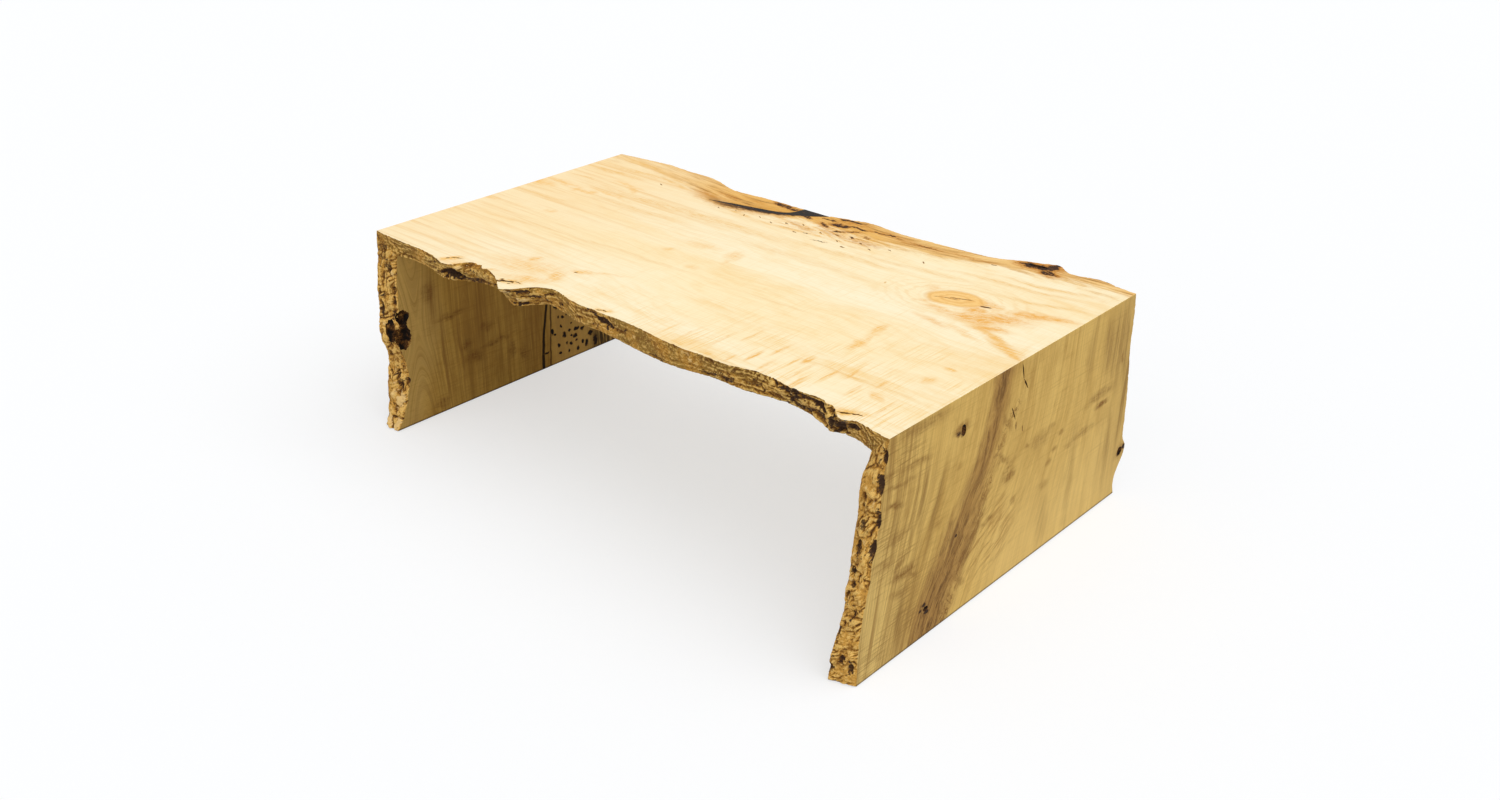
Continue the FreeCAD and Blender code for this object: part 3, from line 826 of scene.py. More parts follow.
# %% Stains and knots of the right end
RIGHT_SOFT = [
    (286, 218, 30, 9, 8, 1.20), (276, 240, 70, 18, 4, 0.80), (300, 216, 14, 6, 10, 1.10),
    (88, 230, 50, 26, 0, 0.60), (-3, 199, 34, 18, 0, 0.90), (-20, 238, 34, 10, -35, 0.85),
    (-6, 216, 34, 10, 20, 0.80), (-278, 152, 46, 15, 0, 1.20), (-292, 174, 24, 12, 40, 1.00),
    (-258, 140, 26, 10, -30, 0.90), (-330, 190, 40, 18, 0, 0.70), (-150, 342, 30, 14, 0, 1.10),
    (-60, 142, 24, 8, 20, 0.80), (-120, 60, 28, 8, -30, 0.70), (-20, 300, 40, 8, -50, 0.75),
    (382, 88, 30, 24, 30, 1.10), (-310, 282, 40, 9, -14, 1.10), (-250, 388, 100, 18, 0, 0.80),
    (230, 186, 60, 10, 0, 0.65), (-300, 225, 44, 14, 10, 0.70), (-290, 120, 40, 11, -10, 0.65),
    (-260, 330, 60, 10, -6, 0.80), (-330, 340, 40, 8, -4, 0.85), (-300, 312, 60, 7, -6, 0.85),
]
RIGHT_KNOTS = [
    (154, 217, 13, 9, 0, 0.70), (137, 192, 12, 9, 0, 0.65), (122, 172, 16, 9, 10, 0.65),
    (122, 240, 18, 9, 0, 0.50), (183, 178, 20, 8, -10, 0.50), (17, 145, 13, 12, 0, 0.65),
    (114, 133, 22, 13, 0, 0.50), (46, 233, 12, 8, -30, 0.65), (-48, 141, 14, 8, 20, 0.60),
    (-196, 196, 12, 8, 0, 0.50), (-148, 278, 14, 9, 0, 0.45), (-160, 344, 16, 10, 20, 0.75),
    (342, 286, 4.5, 20, 0, 0.85), (286, 216, 26, 8, 8, 0.75), (0, 197, 22, 13, 0, 0.50),
]


def crossed_fray(on_face, detail):
    """Noise drawn out along the face and across it, half of each."""
    upright = grain(on_face, 40, 230, detail, 0.74)
    return (upright + grain(on_face, 230, 40, 6, 0.74)) * 0.5


fray = crossed_fray(on_face, 7)
colour = stain(uneven, colour, RIGHT_SOFT, (136, 96, 44), fray, 0.35)
colour = stain(ragged(on_face, 70, 6), colour, RIGHT_KNOTS, (140, 96, 42), fray, 0.55)
print("the right end has", len(RIGHT_SOFT), "soft stains and", len(RIGHT_KNOTS), "knots")

# %% Black marks, splits and painted foot shadow of the right end
RIGHT_BLACK = [
    (-219, 62, 9, 7, 0, 1.0), (-212, 46, 11, 7, -10, 1.0), (-228, 54, 7, 6, 0, 0.9),
    (-143, 152, 5, 5, 0, 0.9), (-146, 337, 8, 13, -6, 1.0), (-158, 338, 12, 8, 0, 0.8),
    (376, 84, 10, 9, 0, 1.0), (392, 92, 9, 10, 0, 0.9),
]
SPLITS = [
    (12, 380, 2.4, 18, 16, 1.0), (24, 354, 2.4, 15, 34, 1.0), (-5, 312, 2.2, 18, 28, 1.0),
    (26, 274, 2.0, 12, 12, 0.8), (6, 286, 2.0, 14, 6, 0.8),
]
# Height band and share of the painted shadow along the foot of both ends.
FOOT_SHADE_BAND = (FOOT + 0.0012, FOOT + 0.0040)
FOOT_SHADE_SHARE = 0.75
black_place = ragged(on_face, 90, 4)
colour = mark(black_place, colour, RIGHT_BLACK, (126, 88, 44), (52, 35, 22), fray)
split_place = ragged(on_face, 60, 3)
colour = mark(split_place, colour, SPLITS, (176, 132, 68), (96, 62, 28), fray)
# Painted shadow: a dark band along the foot, where the gap under the end is in shade.
colour = coats(colour, (fall(tall, *FOOT_SHADE_BAND) * FOOT_SHADE_SHARE, (74, 56, 34)))
close_finish(maple_right, colour, 0.46 + mist * 0.14, height, FACE_RELIEF, 0.06)

# %% Figure of the left end, brown on its inside
LEFT_EDGE = [
    (0, -352), (60, -338), (130, -312), (200, -296), (260, -302), (330, -316), (400, -325),
]
maple_left, corner = start_finish("maple_planed_left")
place, along, across, depth = on_board(corner, "left")
tall = along + FOLDED
on_face = combine(place, across, tall, depth - THICKNESS)
edge_line = follow(tall, LEFT_EDGE)
flow = shifted(place, (0 - edge_line) * fall(across, -0.30, -0.16))
colour, height, mist = maple_figure(flow, END_TONES, 1.2)
inside = rise(depth, 0.016, 0.026)
growth = grain(flow, 2, 80, 6, 0.68)
sapwood = fall(across - edge_line, 0.030, 0.090) * inside
lines = grain(flow, 3, 330, 4, 0.65)
weave = saw_marks(place, (330, 26), (0.48, 0.70), (14, 12), (0.35, 0.60))
colour = coats(
    colour,
    (rise(growth, 0.44, 0.66) * 0.50, (164, 124, 64)),
    (sapwood * 0.45, (236, 206, 140)),
    (rise(lines, 0.46, 0.68) * 0.40, (160, 124, 64)),
    (weave * 0.28, (160, 122, 62)),
)
colour = blend(inside, colour, tint(228, 220, 200), "MULTIPLY")
colour = coats(colour, (rise(across, 0.03, 0.06) * inside * 0.46, (214, 174, 104)))
print("the left end's front edge is", LEFT_EDGE[0][1], "mm off the middle at the floor")

# %% Bands and stains of the left end
LEFT_BANDS = [
    (-140, 200, 70, 240, 0, 0.75), (-250, 250, 14, 80, 0, 0.85), (0, 120, 50, 220, 0, 0.75),
    (-230, 120, 7, 170, 0, 1.00), (-60, 220, 22, 200, 0, 0.80), (-190, 160, 8, 220, 2, 0.90),
    (-95, 160, 6, 200, 2, 0.85), (-30, 120, 5, 200, 0, 0.85),
]
LEFT_SOFT = [
    (-160, 96, 32, 20, 0, 1.0), (-175, 125, 24, 16, 0, 0.9), (-245, 22, 26, 18, 0, 0.9),
    (-120, 150, 24, 15, 0, 0.8), (-255, 265, 24, 34, 0, 0.8), (-60, 80, 18, 26, 0, 0.8),
    (-30, 60, 20, 28, 20, 0.8), (-210, 200, 60, 10, 0, 0.8), (-100, 110, 70, 8, 4, 0.8),
]
fray = crossed_fray(on_face, 6)
streaks = grain(flow, 5, 160, 5, 0.7)
band_place = ragged(on_face, 12, 9)
colour = stain(band_place, colour, LEFT_BANDS, (146, 106, 52), streaks, 0.40)
colour = stain(ragged(on_face, 40, 12), colour, LEFT_SOFT, (116, 76, 36), fray, 0.25)
print("the left end has", len(LEFT_BANDS), "bands and", len(LEFT_SOFT), "soft stains")

# %% Zone lines of the left end
# Rows of (height above the floor, across).
ZONE = [
    (0, 19.5), (40, 21), (80, 25), (110, 30), (150, 37), (260, 46), (400, 40),
]
SECOND_ZONE = [
    (0, 40), (40, 41), (90, 45), (150, 48), (400, 60),
]


def off_line(rows, count, wander):
    """How far a place is from a curve that wanders by so many metres."""
    return abs(across - follow(tall, rows) + (even_grain(place, count) - 0.5) * wander)


zone_wide = 0.0026 + grain(place, 14, 8) * 0.0026
zone = fall(off_line(ZONE, 30, 0.004) / zone_wide, 0.7, 1.15)
second_part = rise(grain(place, 16, 10), 0.40, 0.56) * inside
second = fall(off_line(SECOND_ZONE, 40, 0.005), 0.001, 0.0032)
colour = coats(
    colour,
    (zone * inside * 0.95, (26, 17, 12)),
    (second * second_part * 0.8, (50, 30, 18)),
)
print("the zone line leaves the floor", ZONE[0][1], "mm off the middle")

# %% Spots, dark stripes and painted foot shadow of the left end
# Rows of (across, height above the floor, half wide, half tall).
SPOTS = [
    (78, 62, 8, 9), (92, 67, 7, 6), (113, 65, 13, 6), (108, 50, 9, 6), (128, 60, 8, 6),
    (61, 42, 6, 8), (65, 24, 6, 5), (128, 30, 6, 8), (152, 42, 10, 10), (140, 22, 6, 13),
    (76, 104, 6, 5), (88, 108, 5, 5), (58, 134, 10, 8), (98, 54, 6, 5), (150, 60, 7, 6),
    (120, 96, 6, 5), (45, 78, 6, 12), (26, 36, 12, 4), (52, 70, 5, 4), (170, 74, 8, 7),
    (165, 20, 8, 20), (104, 128, 8, 5), (138, 112, 7, 6), (180, 120, 9, 8), (84, 40, 5, 6),
    (96, 36, 4, 5), (112, 38, 5, 4), (70, 84, 4, 6), (100, 82, 5, 4), (132, 80, 6, 4),
    (144, 92, 5, 5), (156, 104, 5, 4), (116, 18, 5, 7), (90, 20, 4, 6), (160, 58, 5, 9),
    (64, 108, 4, 4),
]
SPOT_SHIFT = 3.5
SPOT_STRENGTH = 1.3
spots = [(y + SPOT_SHIFT, z, wide, high, 0, SPOT_STRENGTH) for y, z, wide, high in SPOTS]
colour = mark(ragged(on_face, 90, 5), colour, spots, (130, 92, 44), (24, 16, 12), fray)
stripes = rise(grain(place, 8, 95, 4, 0.65), 0.37, 0.53) * rise(across, 0.13, 0.19)
colour = coats(
    colour,
    (stripes * inside * fall(tall, 0.05, 0.30) * 0.92, (40, 26, 16)),
    # The last coat is painted shadow along the foot of the end.
    (fall(tall, *FOOT_SHADE_BAND) * FOOT_SHADE_SHARE, (54, 40, 24)),
)
close_finish(maple_left, colour, 0.50 + mist * 0.14, height, FACE_RELIEF, 0.05)

# %% [markdown]
# ## The finish of the natural edges
# Under the bark, this maple is lumpy and gold, with dark purple-brown bark left in places,
# and pale where small chips have broken off. The lumps also get a painted highlight and the
# pits painted shade. Colour by place alone would not know the lumps, so the sculpting below
# leaves three values on every point of the edge: how hollow it is, how much bark is left
# there, and whether it is a fresh chip. The finish reads them.

# %% Values and noise of the natural edge
natural_edge, corner = start_finish("maple_natural_edge")
edge_values = []
for name in ("hollow", "bark", "chip"):
    settings = {"attribute_name": name, "attribute_type": "GEOMETRY"}
    edge_values.append(corner.node("Attribute", settings, {}, "Fac"))
hollow, bark, chip = edge_values
broad = even_grain(corner, 22, 4, 0.6)
patches = even_grain(corner, 34, 5, 0.65)
middling = even_grain(corner, 75, 4, 0.65)
fine = even_grain(corner, 210, 4, 0.65)
flakes = even_grain(corner, 420, 4, 0.7)
grit = even_grain(corner, 700, 3, 0.6)
# This mask paints shade into the hollows and a highlight onto the lumps.
hollow_shading = hollow + (fine - 0.5) * 0.28 + (middling - 0.5) * 0.16
stained = bark + (fine - 0.5) * 1 + (middling - 0.5) * 0.6
chipped = chip + (fine - 0.5) * 1.6
x, _, z = separate(corner)
on_end = rise(abs(x) - z - (HALF_LENGTH - HEIGHT), -0.004, 0.004)
print("the natural edge reads", len(edge_values), "values from its mesh")

# %% Colours of the natural edge
# The crest colour is partly a painted highlight, the deep colour is painted shade, and the
# brown is partly painted shade.
EDGE_OLIVE, EDGE_GOLD, EDGE_BRIGHT = (162, 124, 54), (206, 150, 62), (236, 180, 88)
EDGE_PALE_AND_HIGHLIGHT, EDGE_CHIP = (255, 210, 120), (255, 216, 146)
EDGE_BROWN_AND_SHADE, EDGE_HOLLOW_SHADE, EDGE_BARK = (118, 74, 26), (74, 48, 26), (58, 40, 30)
olive_part = rise(broad + on_end * 0.16, 0.40, 0.62)
colour = blend(olive_part, tint(*EDGE_OLIVE), tint(*EDGE_GOLD))
# Pale on the lumps is painted highlight, brown and near-black in the hollows painted shade;
# patches, flecks, grit and bark are the wood's own colour.
colour = coats(
    colour,
    (on_end * 0.48, EDGE_BRIGHT),
    (rise(patches, 0.50, 0.62) * 0.55, EDGE_BROWN_AND_SHADE),
    (fall(hollow_shading, 0.20, 0.48) * 0.80, EDGE_PALE_AND_HIGHLIGHT),
    (rise(hollow_shading, 0.54, 0.84) * 0.80, EDGE_BROWN_AND_SHADE),
    (rise(middling, 0.56, 0.76) * 0.35, EDGE_BROWN_AND_SHADE),
    (rise(grit, 0.52, 0.72) * 0.40, EDGE_BROWN_AND_SHADE),
    (rise(flakes, 0.54, 0.68) * 0.60, EDGE_BROWN_AND_SHADE),
    (fall(flakes, 0.34, 0.44) * 0.55, EDGE_PALE_AND_HIGHLIGHT),
    (rise(hollow_shading, 0.82, 1.04) * 0.90, EDGE_HOLLOW_SHADE),
    (rise(stained, 0.35, 0.75) * 0.60, EDGE_BROWN_AND_SHADE),
    (rise(stained, 0.60, 1.00) * 0.95, EDGE_BARK),
    (rise(chipped, 0.40, 0.80) * 0.80, EDGE_CHIP),
)
edge_rough = 0.46 + hollow * 0.25 + fine * 0.12
close_finish(natural_edge, colour, edge_rough, fine * 0.65 + grit * 0.35, 2.2, 0.12)

# %% Walls of deep holes: dark brown wood with painted shade, and gold painted highlights
shaded_hole_wall, corner = start_finish("maple_hole_painted_shade")
torn = even_grain(corner, 70, 5, 0.65)
fine = even_grain(corner, 300, 3, 0.6)
# Near-black and dark brown stand in for the shade inside the holes: painted shade over brown
# wood. The gold patches are painted highlights on torn wood.
colour = blend(rise(torn, 0.43, 0.60), tint(20, 12, 7), tint(98, 62, 27))
colour = coats(
    colour,
    (rise(torn, 0.58, 0.70), (206, 152, 74)),
    (rise(fine, 0.50, 0.75) * 0.6, (40, 26, 14)),
)
close_finish(shaded_hole_wall, colour, 0.75 + fine * 0.2, torn * 0.6 + fine * 0.4, 1.5, 0.20)

# %% Resin, felt and tenon wood
black_resin, corner = start_finish("resin_black_gloss")
cloud = even_grain(corner, 35, 4, 0.6)
flecks = grain(corner, 26, 150, 6, 0.74)
dust = even_grain(corner, 900, 2)
colour = blend(rise(cloud, 0.35, 0.70), tint(24, 20, 17), tint(44, 36, 29))
colour = coats(
    colour,
    (rise(flecks, 0.53, 0.63) * 0.85, (104, 66, 30)),
    (rise(dust, 0.66, 0.78) * 0.35, (112, 94, 72)),
)
close_finish(black_resin, colour, 0.25 + cloud * 0.25, cloud, 0.25, 0.03)

felt, corner = start_finish("grey_felt")
hairs = even_grain(corner, 900, 4, 0.75)
matted = even_grain(corner, 160, 3)
colour = blend(rise(hairs, 0.35, 0.70), tint(44, 40, 37), tint(98, 92, 84))
colour = coats(colour, (rise(matted, 0.45, 0.75) * 0.4, (70, 62, 54)))
close_finish(felt, colour, 0.86 + hairs * 0.12, hairs, 0.5, 0.15)

tenon_wood, corner = start_finish("beech_tenon")
fibres = grain(corner, 900, 120, 3)
rays = grain(corner, 260, 1200, 2)
colour = blend(rise(fibres, 0.35, 0.70), tint(214, 170, 120), tint(190, 142, 94))
colour = coats(colour, (rise(rays, 0.62, 0.76) * 0.6, (150, 102, 62)))
close_finish(tenon_wood, colour, 0.55 + fibres * 0.2, fibres, 0.15, 0.3)

# %% [markdown]
# ## Natural edges, from a flat strip
# Each slab has a natural edge at its front and its back. A live edge could be sculpted with
# brushes, but a brush stroke can't be repeated exactly. Here each edge starts as a flat grid,
# a shrinkwrap lays it on the solid, and noise of several sizes, with lumps and pits placed one
# by one, moves its points in and out. Its first and last rows stay in the planed faces.


# %% Points of a strip
# A strip's side is 0 for the top, -1 for the left and 1 for the right end. Its out is -1 at
# the front and 1 at the back.
def points_of(strip):
    points = np.empty(len(strip.data.vertices) * 3)
    strip.data.vertices.foreach_get("co", points)
    return points.reshape(-1, 3)


def put_points(strip, points):
    strip.data.vertices.foreach_set("co", np.ascontiguousarray(points).ravel())
    strip.data.update()


def run_and_depth(points, side):
    """Places along a strip, and depths below the show face, in metres."""
    if side == 0:
        return points[..., 0], HEIGHT - points[..., 2]
    return points[..., 2], HALF_LENGTH - abs(points[..., 0])


STEP = 0.0015
ROWS = 28
print("a strip has", ROWS, "rows of faces, in steps of", STEP / MM, "mm")


# %% A flat grid of a strip's size
def strip_length(side):
    return 2 * HALF_LENGTH if side == 0 else HEIGHT - FOOT


def flat_grid(name, side, out):
    """An upright grid in front of its edge, and the order of its points, row by row."""
    long = strip_length(side)
    columns = round(long / STEP)
    counts = (columns, ROWS) if side == 0 else (ROWS, columns)
    size = (long, THICKNESS) if side == 0 else (THICKNESS, long)
    x = side * (HALF_LENGTH - THICKNESS / 2)
    z = HEIGHT - THICKNESS / 2 if side == 0 else (HEIGHT + FOOT) / 2
    bpy.ops.object.select_all(action="DESELECT")
    bpy.ops.mesh.primitive_grid_add(
        x_subdivisions=counts[0], y_subdivisions=counts[1], size=1,
        location=(x, out * 0.5, z), rotation=(math.radians(90), 0, 0),
    )
    strip = bpy.context.object
    strip.name = name
    strip.scale = (*size, 1)
    bpy.ops.object.transform_apply(location=True, rotation=True, scale=True)
    run, depth = run_and_depth(points_of(strip), side)
    order = np.lexsort((run.round(6), depth.round(6))).reshape(ROWS + 1, columns + 1)
    return strip, order


def leaned(points, side, deep, shrink):
    """Points of a flat grid, with its ends leaned at 45 degrees onto the mitre plane."""
    run, _ = run_and_depth(points, side)
    moved = points.copy()
    if side == 0:
        moved[:, 0] = run * (1 - deep / HALF_LENGTH) * (1 - shrink)
        moved[:, 2] = HEIGHT - deep
    else:
        middle = strip_length(side) / 2
        upward = (run - FOOT) * (HEIGHT - deep - FOOT) / (HEIGHT - FOOT)
        moved[:, 0] = side * (HALF_LENGTH - deep)
        moved[:, 2] = FOOT + (upward - middle) * (1 - shrink) + middle
    return moved


print("columns along the top:", round(strip_length(0) / STEP))

# %% Lay a strip on its solid
# The outermost points aim a hair inside the solid, so that none of them misses it.
GRAZE = 0.00008
SHRINK = 0.0003
MISSED = 0.45


def lay_strip(name, node, side, out):
    """A strip laid on its CAD node, and the order of its points."""
    strip, order = flat_grid(name, side, out)
    points = points_of(strip)
    _, depth = run_and_depth(points, side)
    exact = leaned(points, side, depth, 0.0)
    safe_depth = np.clip(depth, GRAZE, THICKNESS - GRAZE)
    put_points(strip, leaned(points, side, safe_depth, SHRINK))
    wrap = strip.modifiers.new("lay_on_the_solid", "SHRINKWRAP")
    wrap.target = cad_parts[node]
    wrap.wrap_method = "PROJECT"
    wrap.use_project_y = True
    wrap.use_negative_direction = out > 0
    wrap.use_positive_direction = out < 0
    if side == 0 and out > 0:
        wrap.auxiliary_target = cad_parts["crack_fill"]
    bpy.ops.object.modifier_apply(modifier=wrap.name)
    exact[:, 1] = points_of(strip)[:, 1]
    put_points(strip, exact)
    missed = int((abs(exact[:, 1]) > MISSED).sum())
    print(name, "has", order.size, "points,", missed, "of them off the solid")
    return strip, order


EDGES = {
    "top_front": ("top_slab", 0, -1),
    "top_back": ("top_slab", 0, 1),
    "left_front": ("left_leg_slab", -1, -1),
    "left_back": ("left_leg_slab", -1, 1),
    "right_front": ("right_leg_slab", 1, -1),
    "right_back": ("right_leg_slab", 1, 1),
}
laid = {edge: lay_strip(edge, *where) for edge, where in EDGES.items()}


# %% Noise of a natural edge
def smooth_step(values, low, high):
    share = np.clip((values - low) / (high - low), 0, 1)
    return share * share * (3 - 2 * share)


def within(value, low, high):
    return min(max(value, low), high)


def natural_relief(point, sizes, along_axis):
    """Height in mm of lumps, beads, ropes and grit at a point, and its crease and pit."""
    swell, pebble, pebble_size, rope, pit = sizes
    here = Vector(point)
    broad = noise.fractal(here / 0.055, 1.0, 2.0, 2)
    size = pebble_size * MM
    bent = here + 0.6 * size * noise.noise_vector(here / (1.6 * size))
    bent[along_axis] *= 0.75
    knob = abs(noise.noise(bent / (1.2 * size)))
    bead = abs(noise.noise(bent / (0.5 * size) + Vector((7, 3, 11))))
    patchy = within(0.75 + 1.2 * noise.noise(here / 0.034), 0.15, 1.6)
    drawn = here / 0.010
    drawn[along_axis] = here[along_axis] / 0.048
    drawn[1] *= 0.3
    ridge = noise.ridged_multi_fractal(drawn, 1.0, 2.0, 2, 1.0, 2.0)
    hole_place = here / 0.017 + 0.7 * noise.noise_vector(here / 0.024) + Vector((31, 7, 5))
    hole = within((noise.fractal(hole_place, 1.0, 2.0, 3) - 0.28) / 0.14, 0, 1)
    hole = hole * hole * (3 - 2 * hole) * min(pit, 1)
    grit = noise.fractal(here / 0.0045, 0.9, 2.1, 3)
    lumps = pebble * patchy * (4.0 * (knob - 0.20) + 1.8 * (bead - 0.20))
    height = swell * broad + lumps + rope * (ridge - 1.0) + 0.35 * grit - 1.8 * pit * hole
    crease = within(1 - knob / 0.06, 0, 1) * min(patchy * pebble, 1)
    return height, crease, hole


ROPE = 3
ROPE_FADE = 35


def own_relief(points, run, deep, side, character):
    """Fields of height, creases and pits, from a table of sizes along the edge."""
    table = np.array(character, float)
    sizes = [np.interp(run.ravel(), table[:, 0], column) for column in table.T[1:]]
    past = HALF_LENGTH / MM - deep - abs(run) if side == 0 else HEIGHT / MM - deep - run
    sizes[ROPE] = sizes[ROPE] * smooth_step(past, 0, ROPE_FADE).ravel()
    rows = np.stack(sizes, axis=1).tolist()
    along_axis = 0 if side == 0 else 2
    places = points.reshape(-1, 3).tolist()
    fields = [natural_relief(place, row, along_axis) for place, row in zip(places, rows)]
    return [field.reshape(run.shape) for field in np.array(fields).T]


def noise_field(points, size, *settings):
    """Plain noise at every point of a strip."""
    places = points.reshape(-1, 3).tolist()
    values = [noise.fractal(Vector(place) / size, *settings) for place in places]
    return np.array(values).reshape(points.shape[:2])


print("ropes fade out", ROPE_FADE, "mm before a mitre")


# %% Marks placed one by one, arrises and hollows
def uneven_dome(far, push):
    return np.clip(1 - (far * push) ** 2, 0, 1)


def add_marks(marks, run, deep, slow, quick, height, bark):
    """Raise or sink marks with uneven outlines, and leave bark or fresh chips on them."""
    chip = np.zeros(run.shape)
    for at, down, long, tall, lift, *skin in marks:
        kind, amount = skin or ("", 0)
        far = np.hypot((run - at) / long, (deep - down) / tall)
        height = height + lift * uneven_dome(far, np.clip(1 + 0.5 * slow, 0.5, 2))
        dome = uneven_dome(far, np.clip(1 + 0.7 * slow + 0.9 * quick, 0.3, 2))
        if kind == "bark":
            bark = np.maximum(bark, smooth_step(dome, 0.05, 0.45) * amount)
        if kind == "chip":
            value = smooth_step(dome, 0.25, 0.75) * amount
            chip = np.maximum(chip, value)
            bark = bark * (1 - value)
    return height, bark, chip


def nicked(height, to_arris, slow):
    """Heights with nicks along the arrises, which also round off a little."""
    nick = 1.2 * slow - 1.8 * smooth_step(slow, 0.25, 0.55)
    at_arris = np.clip(1 - to_arris / 5, 0, 1)
    return height + at_arris * nick - 0.8 * np.clip(1 - to_arris / 2.5, 0, 1) ** 2


def below(field, times, full):
    """How far a field lies below its average with its neighbours, taken so many times."""
    mean = field
    for _ in range(times):
        wide = np.pad(mean, 1, mode="edge")
        sides = wide[:-2, 1:-1] + wide[2:, 1:-1] + wide[1:-1, :-2] + wide[1:-1, 2:]
        mean = (sides + 4 * mean) / 8
    return np.clip((mean - field) / full, -1, 1)


# This value gives the natural edge's finish its painted shade in the hollows and painted
# highlight on the lumps.
def hollows(own, height, crease):
    """0 on the lumps to 1 in the hollows, counted close by, wider and broadly."""
    close, wide, broad = below(own, 4, 0.50), below(own, 24, 1.3), below(height, 90, 3.0)
    return np.clip(0.48 + 0.24 * close + 0.32 * wide + 0.26 * broad + 0.18 * crease, 0, 1)


print("marks, nicks and hollows are ready")

# %% Weather a strip
# No point comes nearer to the side of the CAD box than this margin.
MARGIN = 0.0002


def store(strip, order, moved, fields):
    """Put moved points and their values back on a strip."""
    flat = np.empty((order.size, 3))
    flat[order.ravel()] = moved.reshape(-1, 3)
    put_points(strip, flat)
    for name, field in fields.items():
        values = np.empty(order.size)
        values[order.ravel()] = field.ravel()
        layer = strip.data.attributes.new(name, "FLOAT", "POINT")
        layer.data.foreach_set("value", values.astype(np.float32))


def weather(strip, order, side, out, character, marks):
    """Move a strip's points in and out, and leave its hollow, bark and chip values on them."""
    points = points_of(strip)[order]
    run, deep = (field / MM for field in run_and_depth(points, side))
    own, crease, bark = own_relief(points, run, deep, side, character)
    slow = noise_field(points, 0.013, 1.0, 2.0, 2)
    quick = noise_field(points, 0.006, 0.7, 2.2, 3)
    to_arris = np.minimum(deep, THICKNESS / MM - deep)
    height = own * (0.55 + 0.45 * smooth_step(to_arris, 0, 7))
    height, bark, chip = add_marks(marks, run, deep, slow, quick, height, bark)
    height = nicked(height, to_arris, slow)
    moved = points.copy()
    moved[..., 1] = points[..., 1] + out * height * MM
    moved[..., 1] = np.clip(moved[..., 1], cad_low.y + MARGIN, cad_high.y - MARGIN)
    hollow = hollows(own, height, crease)
    store(strip, order, moved, {"hollow": hollow, "bark": bark, "chip": chip})
    print(strip.name, "moves from", round(height.min(), 1), "to", round(height.max(), 1), "mm")


print("weathering keeps", MARGIN / MM, "mm inside the CAD box")

# %% What each natural edge is like
# Rows of (place, swell, pebble, pebble size, rope, pit), all in mm.
CHARACTER = {
    "top_front": [
        (-600, 0.8, 0.7, 8, 1.8, 0.4), (-420, 1.0, 0.7, 8, 2.0, 0.4),
        (-340, 0.8, 0.3, 10, 1.0, 0.1), (-250, 0.8, 0.5, 10, 0.8, 0.4),
        (-200, 1.2, 0.6, 10, 0.8, 0.6), (-60, 1.0, 0.5, 9, 1.2, 0.6),
        (60, 1.0, 0.22, 9, 0.5, 0.2), (180, 1.0, 0.4, 9, 0.8, 0.35),
        (260, 1.2, 0.6, 10, 1.2, 0.5), (330, 1.5, 0.9, 10, 2.8, 0.9),
        (480, 1.5, 0.9, 11, 3.4, 1.0), (560, 0.8, 0.8, 9, 1.2, 0.3),
        (600, 0.8, 1.0, 9, 1.0, 0.4),
    ],
    "top_back": [
        (-600, 1.5, 0.8, 12, 1.8, 0.4), (0, 1.5, 0.7, 12, 2.2, 0.5),
        (600, 1.5, 0.8, 13, 1.8, 0.5),
    ],
    "left_front": [
        (0, 2.4, 2.2, 15, 0.6, 0.4), (220, 2.2, 1.6, 16, 1.0, 0.4),
        (310, 1.8, 0.9, 14, 2.2, 0.3), (400, 1.2, 0.6, 12, 2.4, 0.3),
    ],
    "left_back": [
        (0, 2.0, 1.4, 15, 1.0, 0.4), (400, 1.5, 0.8, 13, 1.6, 0.4),
    ],
    "right_front": [
        (0, 1.6, 1.0, 9, 0.5, 0.2), (160, 1.8, 1.5, 12, 0.5, 0.3),
        (400, 1.4, 1.8, 13, 0.7, 0.35),
    ],
    "right_back": [
        (0, 1.5, 1.2, 14, 1.2, 0.4), (400, 1.5, 0.9, 13, 1.6, 0.4),
    ],
}
print("tables of", len(CHARACTER), "natural edges")

